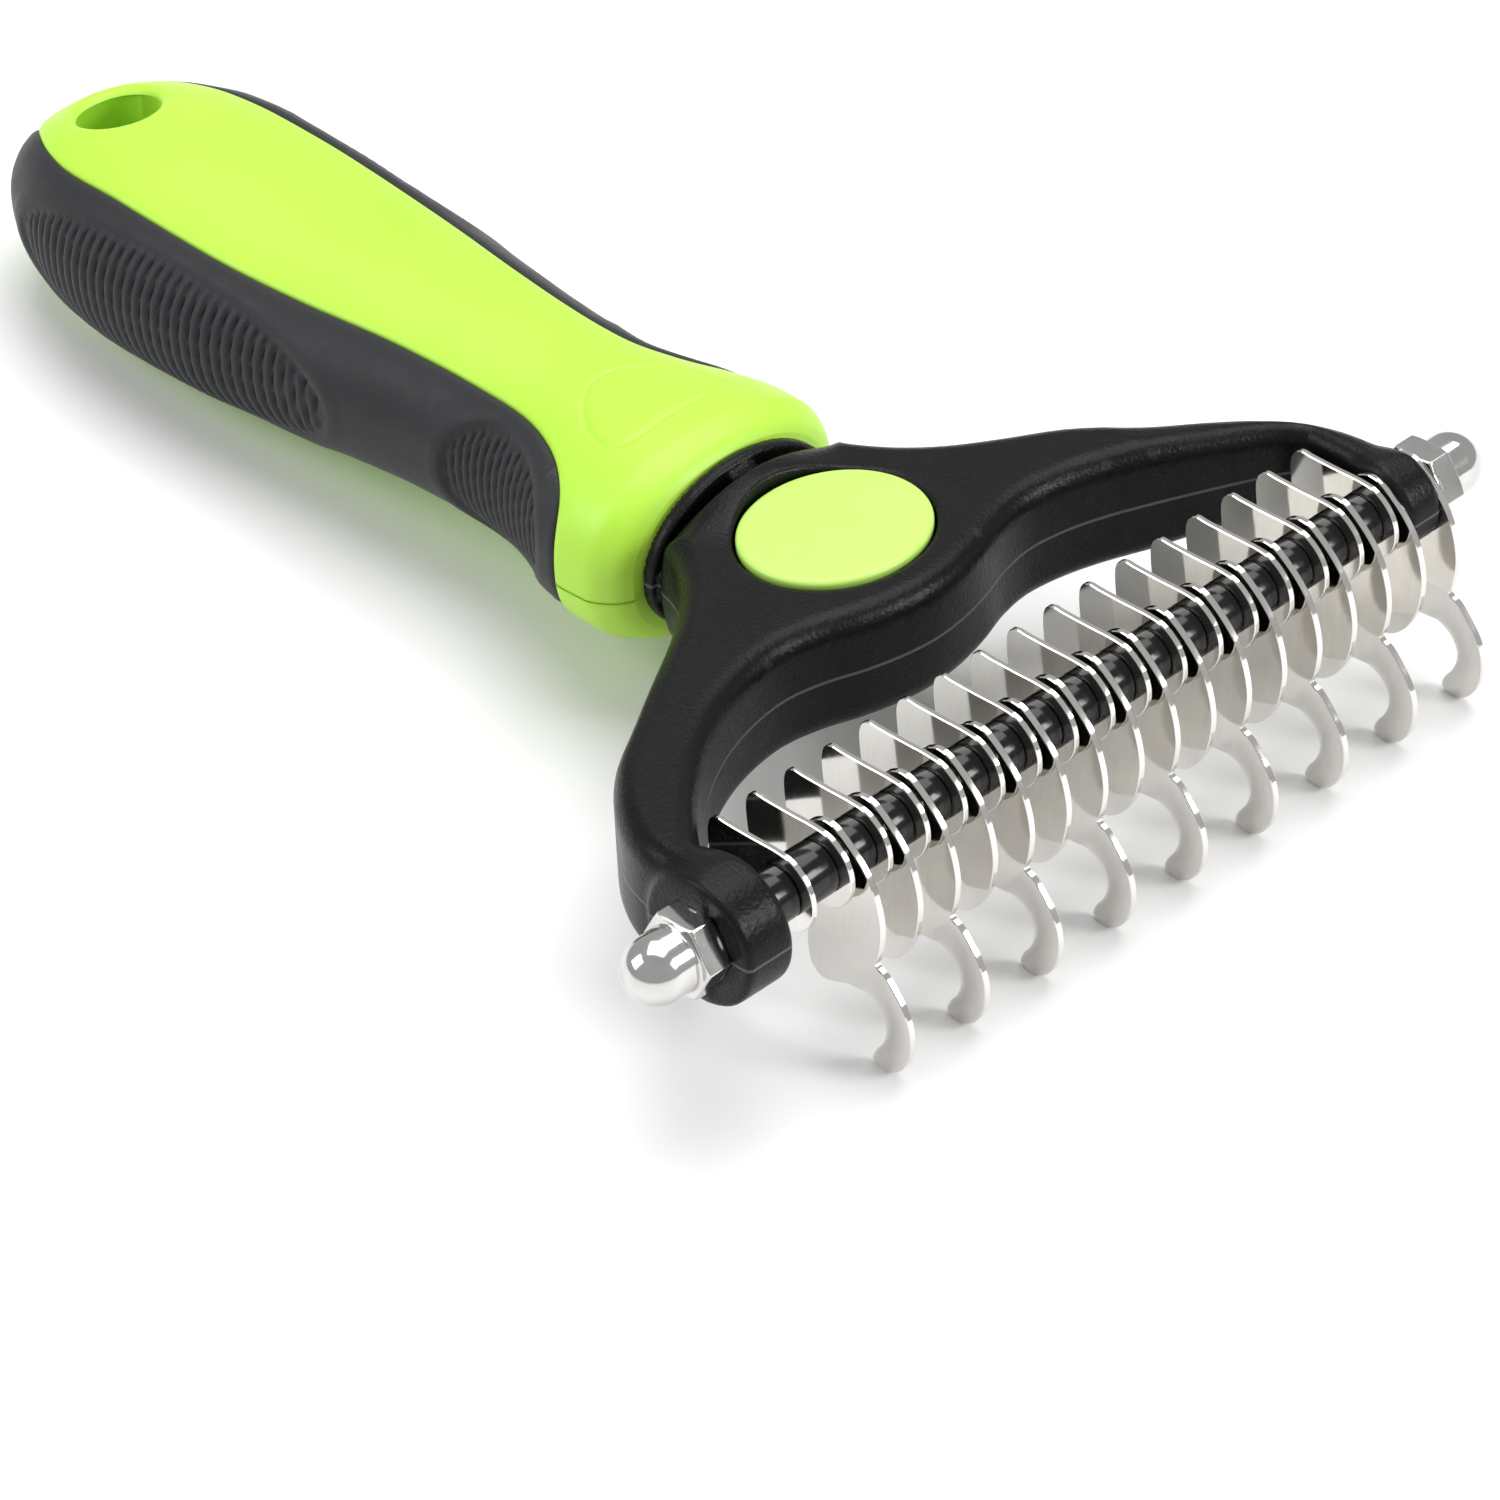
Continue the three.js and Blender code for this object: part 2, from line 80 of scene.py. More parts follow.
# ---------------------------------------------------------------- materials
class Mat:
    """A small helper round one Principled material."""

    def __init__(self, name):
        self.m = bpy.data.materials.new(name)
        self.m.use_nodes = True
        self.t = self.m.node_tree
        self.b = self.t.nodes["Principled BSDF"]
        self.co = self.t.nodes.new("ShaderNodeTexCoord").outputs["Object"]

    def set(self, **k):
        for key, v in k.items():
            self.b.inputs[key.replace("_", " ")].default_value = v
        return self

    def node(self, kind, ins=None, **props):
        n = self.t.nodes.new(kind)
        for k, v in props.items():
            setattr(n, k, v)
        for k, v in (ins or {}).items():
            if isinstance(v, bpy.types.NodeSocket):
                self.t.links.new(v, n.inputs[k])
            else:
                n.inputs[k].default_value = v
        return n

    def link(self, a, b):
        self.t.links.new(a, b)

    def scaled(self, s):
        return self.node("ShaderNodeMapping", {"Vector": self.co, "Scale": s}).outputs[0]

    def noise(self, scale, detail=3, rough=0.5, vec=None, dist=0.0):
        return self.node("ShaderNodeTexNoise", {"Vector": vec or self.co, "Scale": scale, "Detail": detail, "Roughness": rough, "Distortion": dist}).outputs["Fac"]

    def ramp(self, fac, stops):
        n = self.node("ShaderNodeValToRGB", {"Fac": fac})
        e = n.color_ramp.elements
        while len(e) > 1:
            e.remove(e[-1])
        for i, (p, c) in enumerate(stops):
            el = e[0] if i == 0 else e.new(p)
            el.position = p
            el.color = c if isinstance(c, tuple) and len(c) == 4 else ((*c, 1) if isinstance(c, tuple) else (c, c, c, 1))
        return n.outputs["Color"]

    def rng(self, fac, a, b, lo=0.25, hi=0.75):
        return self.node("ShaderNodeMapRange", {"Value": fac, "From Min": lo, "From Max": hi, "To Min": a, "To Max": b}).outputs["Result"]

    def math(self, op, a, b=0.0, clamp=False):
        n = self.node("ShaderNodeMath", operation=op, use_clamp=clamp)
        for i, v in enumerate((a, b)):
            if isinstance(v, bpy.types.NodeSocket):
                self.link(v, n.inputs[i])
            else:
                n.inputs[i].default_value = v
        return n.outputs[0]

    def mix(self, fac, a, b, mode="MIX"):
        n = self.node("ShaderNodeMix", data_type="RGBA", blend_type=mode)
        for i, v in ((0, fac), (6, a), (7, b)):
            if isinstance(v, bpy.types.NodeSocket):
                self.link(v, n.inputs[i])
            else:
                n.inputs[i].default_value = v
        return n.outputs[2]

    def bump(self, height, strength, distance, normal=None):
        ins = {"Height": height, "Strength": strength, "Distance": distance}
        if normal is not None:
            ins["Normal"] = normal
        return self.node("ShaderNodeBump", ins).outputs[0]

    def out(self, color=None, rough=None, normal=None):
        if color is not None:
            self.link(color, self.b.inputs["Base Color"])
        if rough is not None:
            self.link(rough, self.b.inputs["Roughness"])
        if normal is not None:
            self.link(normal, self.b.inputs["Normal"])
        return self.m


def green(name, dark, light, r0, r1, grain=0.12):
    m = Mat(name).set(Metallic=0.0, IOR=1.48)
    m.b.inputs["Specular IOR Level"].default_value = 0.45
    big = m.noise(45, 3, 0.55)
    col = m.ramp(big, [(0.3, dark), (0.7, light)])
    fine = m.noise(2600, 3, 0.6)
    col = m.mix(m.rng(fine, 0.0, 0.05), col, (*[c * 0.72 for c in dark], 1))
    # light rub marks along the convex edges
    geo = m.node("ShaderNodeNewGeometry").outputs["Pointiness"]
    edge = m.rng(geo, 0.0, 0.10, 0.52, 0.60)
    col = m.mix(edge, col, (0.80, 0.97, 0.42, 1))
    rough = m.math("ADD", m.rng(m.noise(300, 4), r0, r1), m.rng(fine, -0.02, 0.03))
    nrm = m.bump(fine, grain, 0.00004, m.bump(m.noise(180, 2), 0.05, 0.0002))
    return m.out(col, rough, nrm)


def rubber():
    m = Mat("soft_rubber").set(Metallic=0.0, IOR=1.5)
    m.b.inputs["Specular IOR Level"].default_value = 0.24
    m.b.inputs["Sheen Weight"].default_value = 0.06
    m.b.inputs["Sheen Roughness"].default_value = 0.5
    cloud = m.noise(70, 4, 0.6)
    col = m.ramp(cloud, [(0.3, (0.0125, 0.0130, 0.0148)), (0.7, (0.0185, 0.0190, 0.0215))])
    fine = m.noise(5200, 2, 0.5)
    col = m.mix(m.rng(fine, 0.0, 0.25), col, (0.040, 0.041, 0.045, 1))
    geo = m.node("ShaderNodeNewGeometry").outputs["Pointiness"]
    col = m.mix(m.rng(geo, 0.0, 0.35, 0.52, 0.62), col, (0.06, 0.061, 0.066, 1))
    rough = m.math("ADD", m.rng(m.noise(420, 3), 0.46, 0.58), m.rng(fine, -0.03, 0.04))
    nrm = m.bump(fine, 0.30, 0.00003, m.bump(m.noise(900, 3), 0.15, 0.00006))
    return m.out(col, rough, nrm)


def black_plastic():
    m = Mat("grained_black_plastic").set(Metallic=0.0, IOR=1.5)
    m.b.inputs["Specular IOR Level"].default_value = 0.15
    cloud = m.noise(60, 4, 0.6)
    col = m.ramp(cloud, [(0.3, (0.0030, 0.0029, 0.0034)), (0.7, (0.0050, 0.0049, 0.0057))])
    geo = m.node("ShaderNodeNewGeometry").outputs["Pointiness"]
    col = m.mix(m.rng(geo, 0.0, 0.4, 0.52, 0.60), col, (0.030, 0.030, 0.033, 1))
    # fine spark-erosion grain
    grain = m.noise(2900, 4, 0.62, dist=0.4)
    cell = m.node("ShaderNodeTexVoronoi", {"Vector": m.co, "Scale": 2300.0, "Randomness": 1.0}).outputs["Distance"]
    tex = m.math("ADD", m.math("MULTIPLY", cell, 0.7), grain)
    # faint mould line at mid height: distance from the plane z = 0 of the tool
    dot = m.node("ShaderNodeVectorMath", {0: m.co, 1: (ST, 0.0, CT)}, operation="DOT_PRODUCT").outputs["Value"]
    c0 = OX * ST + OZ * CT
    dz = m.math("ABSOLUTE", m.math("SUBTRACT", dot, c0))
    line = m.node("ShaderNodeMapRange", {"Value": dz, "From Min": 0.00006, "From Max": 0.00022, "To Min": 1.0, "To Max": 0.0}).outputs["Result"]
    nz = m.node("ShaderNodeVectorMath", {0: m.node("ShaderNodeNewGeometry").outputs["Normal"], 1: (ST, 0.0, CT)}, operation="DOT_PRODUCT").outputs["Value"]
    wall = m.math("SUBTRACT", 1.0, m.math("ABSOLUTE", nz), clamp=True)
    line = m.math("MULTIPLY", line, wall)
    col = m.mix(m.math("MULTIPLY", line, 0.5), col, (0.16, 0.16, 0.165, 1))
    rough = m.math("ADD", m.rng(m.noise(350, 3), 0.26, 0.35), m.rng(grain, -0.05, 0.06))
    nrm = m.bump(line, 0.6, 0.00008, m.bump(tex, 0.62, 0.00006, m.bump(m.noise(240, 2), 0.08, 0.0002)))
    return m.out(col, rough, nrm)


def gloss_black():
    m = Mat("gloss_black_plastic").set(Metallic=0.0, IOR=1.5)
    m.b.inputs["Specular IOR Level"].default_value = 0.35
    cloud = m.noise(400, 3)
    col = m.ramp(cloud, [(0.3, (0.0035, 0.0035, 0.0040)), (0.7, (0.0070, 0.0070, 0.0078))])
    smear = m.noise(600, 4, 0.6, vec=m.scaled((1.0, 3.5, 1.0)))
    rough = m.rng(smear, 0.09, 0.22)
    nrm = m.bump(m.noise(700, 2), 0.10, 0.00008)
    return m.out(col, rough, nrm)


def steel():
    m = Mat("polished_steel").set(Metallic=1.0)
    m.b.inputs["Anisotropic"].default_value = 0.25
    cloud = m.noise(120, 4, 0.55)
    col = m.ramp(cloud, [(0.3, (0.73, 0.71, 0.675)), (0.7, (0.81, 0.79, 0.755))])
    streak = m.noise(2200, 3, 0.55, vec=m.scaled((1.0, 0.12, 0.16)))
    col = m.mix(m.rng(streak, 0.0, 0.15), col, (0.50, 0.485, 0.46, 1))
    rough = m.math("ADD", m.rng(cloud, 0.05, 0.09), m.rng(streak, -0.01, 0.03))
    nrm = m.bump(streak, 0.05, 0.00002, m.bump(m.noise(160, 2), 0.10, 0.00015))
    return m.out(col, rough, nrm)


def nickel():
    m = Mat("nickel_plate").set(Metallic=1.0)
    cloud = m.noise(260, 4, 0.55)
    col = m.ramp(cloud, [(0.3, (0.56, 0.55, 0.535)), (0.7, (0.66, 0.655, 0.64))])
    fine = m.noise(3200, 3, 0.6)
    rough = m.math("ADD", m.rng(cloud, 0.07, 0.14), m.rng(fine, -0.02, 0.03))
    nrm = m.bump(fine, 0.03, 0.00002, m.bump(m.noise(500, 2), 0.06, 0.0001))
    return m.out(col, rough, nrm)


GREEN = green("lime_plastic", (0.390, 0.700, 0.046), (0.430, 0.740, 0.058), 0.36, 0.46)
BADGE = green("badge_lime_plastic", (0.460, 0.750, 0.130), (0.500, 0.780, 0.160), 0.30, 0.40, 0.08)
RUBBER = rubber()
BLACK = black_plastic()
GLOSS = gloss_black()
STEEL = steel()
NICKEL = nickel()


# ---------------------------------------------------------------- mesh helpers
def weld(V, F, tol=1e-4):
    """Joins equal points and drops faces that have collapsed."""
    V = np.asarray(V, float)
    key = np.round(V / tol).astype(np.int64)
    _, first, inv = np.unique(key, axis=0, return_index=True, return_inverse=True)
    inv = inv.reshape(-1)
    F = [np.asarray(f, int) for f in (F if isinstance(F, list) else [F])]
    out = []
    for f in F:
        g = inv[f]
        if g.shape[1] == 3:
            ok = (g[:, 0] != g[:, 1]) & (g[:, 1] != g[:, 2]) & (g[:, 2] != g[:, 0])
            out.append(g[ok])
        else:
            a = np.stack([g[:, 0], g[:, 1], g[:, 2]], 1)
            b = np.stack([g[:, 0], g[:, 2], g[:, 3]], 1)
            whole = (np.sort(g, 1)[:, 1:] != np.sort(g, 1)[:, :-1]).all(1)
            out.append(g[whole])
            for t in (a[~whole], b[~whole]):
                ok = (t[:, 0] != t[:, 1]) & (t[:, 1] != t[:, 2]) & (t[:, 2] != t[:, 0])
                out.append(t[ok])
    return V[first], [o for o in out if len(o)]


def make(name, V, F, mat, replaces=(), body="tool", sharp=None, tol=1e-4):
    V, F = weld(V, F, tol)
    me = bpy.data.meshes.new(name)
    me.from_pydata(world(V).tolist(), [], [f for g in F for f in g.tolist()])
    me.validate()
    me.update()
    me.polygons.foreach_set("use_smooth", [True] * len(me.polygons))
    if sharp:
        me.set_sharp_from_angle(angle=math.radians(sharp))
    me.materials.append(mat)
    o = bpy.data.objects.new(name, me)
    bpy.context.scene.collection.objects.link(o)
    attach(o, body)
    if replaces:
        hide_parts(*replaces)
    return o


def pchip(tab, x):
    """Monotone cubic through a table, so a profile never overshoots its points."""
    t = np.asarray(tab, float)
    X, Y = t[:, 0], t[:, 1]
    h = np.diff(X)
    d = np.diff(Y) / h
    m = np.zeros(len(X))
    s = d[:-1] * d[1:] > 0
    w1, w2 = 2 * h[1:] + h[:-1], h[1:] + 2 * h[:-1]
    with np.errstate(divide="ignore", invalid="ignore"):
        m[1:-1] = np.where(s, (w1 + w2) / (w1 / d[:-1] + w2 / d[1:]), 0)
    m[0], m[-1] = d[0], d[-1]
    x = np.clip(x, X[0], X[-1])
    i = np.clip(np.searchsorted(X, x) - 1, 0, len(h) - 1)
    u = (x - X[i]) / h[i]
    return (Y[i] * (1 + 2 * u) * (1 - u) ** 2 + h[i] * m[i] * u * (1 - u) ** 2
            + Y[i + 1] * u * u * (3 - 2 * u) + h[i] * m[i + 1] * u * u * (u - 1))


def smooth(pts, sub=6, closed=True):
    """Centripetal Catmull-Rom through the points."""
    P = [np.array(p, float) for p in pts]
    n = len(P)
    out = []
    rng = range(n if closed else n - 1)
    for i in rng:
        if closed:
            p0, p1, p2, p3 = P[i - 1], P[i], P[(i + 1) % n], P[(i + 2) % n]
        else:
            p1, p2 = P[i], P[i + 1]
            p0 = P[i - 1] if i > 0 else 2 * p1 - p2
            p3 = P[i + 2] if i + 2 < n else 2 * p2 - p1
        t = [0.0]
        for a, b in ((p0, p1), (p1, p2), (p2, p3)):
            t.append(t[-1] + max(math.sqrt(np.linalg.norm(b - a)), 1e-4))
        for k in range(sub):
            u = t[1] + (t[2] - t[1]) * k / sub
            A1 = (t[1] - u) / (t[1] - t[0]) * p0 + (u - t[0]) / (t[1] - t[0]) * p1
            A2 = (t[2] - u) / (t[2] - t[1]) * p1 + (u - t[1]) / (t[2] - t[1]) * p2
            A3 = (t[3] - u) / (t[3] - t[2]) * p2 + (u - t[2]) / (t[3] - t[2]) * p3
            B1 = (t[2] - u) / (t[2] - t[0]) * A1 + (u - t[0]) / (t[2] - t[0]) * A2
            B2 = (t[3] - u) / (t[3] - t[1]) * A2 + (u - t[1]) / (t[3] - t[1]) * A3
            out.append((t[2] - u) / (t[2] - t[1]) * B1 + (u - t[1]) / (t[2] - t[1]) * B2)
    if not closed:
        out.append(P[-1])
    return np.array(out)


def split(P, T, f, eps=0.012):
    """Cuts the triangles along f = 0, by linear interpolation of the points' parameters."""
    s = np.where(f > eps, 1, np.where(f < -eps, -1, 0))
    S = s[T]
    mixed = (S.max(1) == 1) & (S.min(1) == -1)
    X, SX = T[mixed], S[mixed]
    if not len(X):
        return P, T
    E = np.concatenate([X[:, [0, 1]], X[:, [1, 2]], X[:, [2, 0]]])
    cross = s[E[:, 0]] * s[E[:, 1]] == -1
    Es = np.sort(E, 1)
    key = Es[:, 0].astype(np.int64) * len(P) + Es[:, 1]
    uk, inv = np.unique(key[cross], return_inverse=True)
    a, b = uk // len(P), uk % len(P)
    t = f[a] / (f[a] - f[b])
    NP = P[a] * (1 - t)[:, None] + P[b] * t[:, None]
    idx = np.full(len(E), -1)
    idx[cross] = len(P) + inv.reshape(-1)
    I = idx.reshape(3, len(X)).T
    out = [T[~mixed]]
    nz = (SX == 0).sum(1)
    for r in range(3):
        q, w = (r + 1) % 3, (r + 2) % 3
        m = (nz == 0) & (SX[:, r] != SX[:, q]) & (SX[:, r] != SX[:, w])
        A, B, C, AB, CA = X[m, r], X[m, q], X[m, w], I[m, r], I[m, w]
        out += [np.stack([A, AB, CA], 1), np.stack([AB, B, C], 1), np.stack([AB, C, CA], 1)]
        m = (nz == 1) & (SX[:, r] == 0)
        A, B, C, BC = X[m, r], X[m, q], X[m, w], I[m, q]
        out += [np.stack([A, B, BC], 1), np.stack([A, BC, C], 1)]
    return np.vstack([P, NP]), np.concatenate(out)


def tidy(P, T):
    used, inv = np.unique(T, return_inverse=True)
    return P[used], inv.reshape(T.shape)


def rim(T):
    """Directed boundary edges of a triangle patch."""
    E = np.concatenate([T[:, [0, 1]], T[:, [1, 2]], T[:, [2, 0]]])
    n = int(E.max()) + 1
    key, rev = E[:, 0].astype(np.int64) * n + E[:, 1], E[:, 1].astype(np.int64) * n + E[:, 0]
    return E[~np.isin(key, rev)]


def close_with(V, T, W):
    """Closes an outward patch V with its partner points W on the inner side."""
    n = len(V)
    E = rim(T)
    walls = np.stack([E[:, 1], E[:, 0], E[:, 0] + n, E[:, 1] + n], 1)
    return np.vstack([V, W]), [T, T[:, ::-1] + n, walls]


def seg_dist(x, y, poly, closed=False):
    """Unsigned distance from points to a polyline."""
    P = np.asarray(poly, float)
    if closed:
        P = np.vstack([P, P[:1]])
    best = np.full(x.shape, 1e9)
    for a, b in zip(P[:-1], P[1:]):
        d = b - a
        L = max(d @ d, 1e-12)
        t = np.clip(((x - a[0]) * d[0] + (y - a[1]) * d[1]) / L, 0, 1)
        best = np.minimum(best, (x - a[0] - t * d[0]) ** 2 + (y - a[1] - t * d[1]) ** 2)
    return np.sqrt(best)


def inside(x, y, poly):
    P = np.asarray(poly, float)
    Q = np.roll(P, -1, 0)
    c = np.zeros(x.shape, bool)
    for a, b in zip(P, Q):
        if a[1] == b[1]:
            continue
        c ^= ((a[1] > y) != (b[1] > y)) & (x < (b[0] - a[0]) * (y - a[1]) / (b[1] - a[1]) + a[0])
    return c


# ---------------------------------------------------------------- handle
HALF_W = [[-139.55, 0.0], [-139.3, 1.8], [-138.7, 3.9], [-137.2, 7.0], [-135, 9.7], [-132, 11.8], [-128, 13.7], [-123, 15.3], [-117, 16.2], [-110, 16.4], [-103, 16.1],
          [-96, 15.3], [-89, 14.4], [-82, 13.4], [-75, 12.6], [-69, 12.3], [-64, 12.6], [-59, 13.6], [-54, 15.1], [-50, 15.9], [-47, 15.8], [-44.8, 14.7], [-43.9, 13.7], [-43.4, 12.7]]
TOP_H = [[-139.55, 0.0], [-139.3, 1.3], [-138.7, 2.7], [-137.2, 4.6], [-135, 6.3], [-132, 7.7], [-128, 8.8], [-123, 9.5], [-117, 9.9], [-103, 10.1], [-89, 9.9],
         [-75, 9.5], [-66, 9.4], [-59, 9.8], [-50, 10.6], [-47, 10.6], [-44.8, 9.9], [-43.9, 9.3], [-43.4, 8.6]]
BOT_H = [[-139.55, 0.0], [-139.3, 1.5], [-138.7, 3.0], [-137.2, 5.2], [-135, 7.2], [-132, 8.9], [-128, 10.2], [-123, 10.9], [-117, 11.1], [-108, 10.7], [-96, 9.7],
         [-82, 8.7], [-70, 8.4], [-59, 9.4], [-50, 10.6], [-47, 10.5], [-44.8, 9.8], [-43.9, 9.3], [-43.4, 8.6]]
RAISE = [[-139.6, 3.2], [-130, 3.0], [-120, 2.5], [-110, 1.9], [-100, 1.35], [-90, 1.2], [-80, 1.1], [-70, 0.75], [-60, 0.35], [-52, 0], [-43, 0]]
GRIP_EDGE = [[-142, 2.0], [-138, 3.4], [-135, 5.8], [-131, 8.2], [-126, 9.9], [-118, 10.5], [-104, 10.5], [-92, 9.6], [-80, 8.2], [-70, 7.6], [-63, 7.9], [-58.5, 9.2], [-55.2, 11.0], [-52.6, 13.4], [-51.1, 16.2], [-50.4, 18.5]]
edge_line = smooth(GRIP_EDGE, 5, closed=False)
edge_poly = np.vstack([edge_line, [[-50.4, 40], [-160, 40], [-160, 2.0]]])
PICK = [[-50.3, -5.6], [-50.25, 0], [-50.3, 5.8], [-51.3, 7.3], [-53.4, 7.25], [-56.2, 6.0], [-58.6, 3.9], [-60.1, 1.4], [-60.1, -1.4], [-58.6, -3.9], [-56.2, -6.0], [-53.4, -7.25], [-51.3, -7.2]]
pick_line = smooth(PICK, 6)
PADS = [(-107.5, MID_Z - 0.3, 23.0, 7.7, 1.34, 0.62), (-62.4, MID_Z + 0.5, 8.4, 6.7, 1.06, 0.5)]


def base(P):
    """Point and outward normal of the handle's plain skin at (x, angle)."""
    def at(x, a):
        c, s = np.cos(a), np.sin(a)
        q = (np.abs(c) ** SUP + np.abs(s) ** SUP) ** (-1 / SUP)
        w = pchip(HALF_W, x)
        h = np.where(s > 0, pchip(TOP_H, x), pchip(BOT_H, x))
        return np.stack([x, c * q * w, s * q * h + MID_Z + pchip(RAISE, x)], 1)
    x, a = P[:, 0], P[:, 1]
    V = at(x, a)
    e = 0.02
    x1, x2 = np.clip(x + e, -139.54, -43.41), np.clip(x - e, -139.54, -43.41)
    tx = at(x1, a) - at(x2, a)
    ta = at(x, a + 0.002) - at(x, a - 0.002)
    n = np.cross(ta, tx)
    L = np.linalg.norm(n, axis=1, keepdims=True)
    n = np.where(L > 1e-12, n / np.maximum(L, 1e-12), [[-1.0, 0, 0]])
    out = np.sign(n[:, 1] * V[:, 1] + n[:, 2] * (V[:, 2] - MID_Z - pchip(RAISE, x)) + n[:, 0] * np.where(x < -120, -1, 1) * 1e-3)
    n *= np.where(out == 0, 1, out)[:, None]
    return V, n


def grid(xs, angs):
    X, A = np.meshgrid(xs, angs, indexing="ij")
    P = np.stack([X.ravel(), A.ravel()], 1)
    n, m = len(xs), len(angs)
    i, j = np.meshgrid(np.arange(n - 1), np.arange(m - 1), indexing="ij")
    a = (i * m + j).ravel()
    b, c, d = a + 1, a + m + 1, a + m
    T = np.concatenate([np.stack([a, b, c], 1), np.stack([a, c, d], 1)])
    return P, T


def d_grip(V):
    x, y = V[:, 0], np.abs(V[:, 1])
    d = seg_dist(x, y, edge_line)
    return np.where(inside(x, y, edge_poly), d, -d)


def d_pick(V, n):
    d = seg_dist(V[:, 0], V[:, 1], pick_line, True)
    d = np.where(inside(V[:, 0], V[:, 1], pick_line), -d, d)
    return np.where(n[:, 2] > 0, d, 50.0)


def d_hole(V):
    return np.hypot(V[:, 0] - HANG_X, V[:, 1]) - HANG_R


def orient(V, T, outward):
    a, b, c = V[T[:, 0]], V[T[:, 1]], V[T[:, 2]]
    n = np.cross(b - a, c - a)
    if (n * outward[T[:, 0]]).sum() < 0:
        T = T[:, ::-1]
    return T


FIL = 1.1
butt = -139.55 + np.array([0.0, 0.04, 0.12, 0.25, 0.45, 0.7, 1.0, 1.4, 1.9, 2.5, 3.2, 4.0])
xs_green = np.concatenate([butt, np.arange(-135.0, -47.2, 0.9), [-47, -46.4, -45.8, -45.3, -44.8, -44.4, -44.05, -43.8, -43.6, -43.48, -43.4]])
angs = np.linspace(-math.pi / 2, math.pi / 2, 73)


def green_half(upper):
    P, T = grid(xs_green, angs)
    for lev in (-0.75, -0.5, -0.3, -0.15, -0.05, 0.0):
        V, n = base(P)
        P, T = split(P, T, d_grip(V) - lev)
    V, n = base(P)
    f = d_grip(V)
    T = T[f[T].mean(1) < 0]
    P, T = tidy(P, T)
    V, n = base(P)
    sgn = 1 if upper else -1
    for lev in (0.0, 0.12, 0.3, 0.6):
        V, n = base(P)
        P, T = split(P, T, sgn * (V[:, 2] - SPLIT_Z) - lev, 0.004)
    V, n = base(P)
    f = sgn * (V[:, 2] - SPLIT_Z)
    T = T[f[T].mean(1) > 0]
    P, T = tidy(P, T)
    for lev in (0.0, 0.03, 0.11, 0.24, 0.42, 0.66, FIL):
        V, n = base(P)
        P, T = split(P, T, d_hole(V) - lev)
    V, n = base(P)
    f = d_hole(V)
    T = T[f[T].mean(1) > 0]
    P, T = tidy(P, T)
    if upper:
        for lev in (-0.6, -0.36, -0.18, 0.0, 0.18, 0.36, 0.6):
            V, n = base(P)
            P, T = split(P, T, d_pick(V, n) - lev)
    V, n = base(P)
    T = orient(V, T, n)
    dg, dh = d_grip(V), d_hole(V)
    disp = np.zeros(len(V))
    # rolled edge where the rubber meets the shell
    u = np.clip(1 + dg / 0.75, 0, 1)
    disp -= 0.42 * (1 - np.sqrt(np.clip(1 - u * u, 0, 1)))
    # rounded mouth of the hanging hole
    u = np.clip(1 - dh / FIL, 0, 1)
    disp -= FIL * (1 - np.sqrt(np.clip(1 - u * u, 0, 1)))
    # mould line between the halves
    g = sgn * (V[:, 2] - SPLIT_Z)
    disp -= np.where(V[:, 0] > -60, 0.10 * np.exp(-(g / 0.16) ** 2), 0.05 * np.exp(-(g / 0.16) ** 2))
    if upper:
        dp = d_pick(V, n)
        disp -= 0.17 * np.exp(-(dp / 0.27) ** 2)
    V = V + n * disp[:, None]
    # the bore's own wall keeps its plan circle
    ring = dh < 0.012
    r = np.hypot(V[:, 0] - HANG_X, V[:, 1])
    k = np.where(ring, HANG_R / np.maximum(r, 1e-6), 1)
    V[:, 0] = HANG_X + (V[:, 0] - HANG_X) * k
    V[:, 1] = V[:, 1] * k
    V[np.abs(P[:, 1]) > math.pi / 2 - 1e-6, 1] = 0.0
    return V, T


def green_shell(name, node, upper):
    V, T = green_half(upper)
    M = V * [1, -1, 1]
    n = len(V)
    V2, F2 = weld(np.vstack([V, M]), [T, T[:, ::-1] + n], 1e-3)
    T2 = np.concatenate(F2)
    gap = 0.015 if upper else -0.015
    W = V2.copy()
    W[:, 2] = SPLIT_Z + gap
    # the inner sheet stays within the outline of the parting plane at the butt
    W[:, 0] = np.maximum(W[:, 0], V2[np.abs(V2[:, 2] - SPLIT_Z) < 0.1, 0].min())
    VV, FF = close_with(V2, T2, W)
    return make(name, VV, FF, GREEN, (node,), sharp=38, tol=1e-3)


green_shell("upper_shell", "handle_upper_shell", True)
green_shell("lower_shell", "handle_lower_shell", False)


def steps(a, b, h):
    return np.linspace(a, b, max(2, int(round((b - a) / h)) + 1))[:-1]


xs_grip = np.concatenate([butt[2:], steps(-135.0, -131.8, 0.6), steps(-131.8, -91.2, 0.19), steps(-91.2, -84.4, 0.3), steps(-84.4, -72, 0.7), steps(-72, -53, 0.165), np.linspace(-53, -50.4, 10)])
ang_grip = np.linspace(-math.radians(74), math.radians(74), 69)


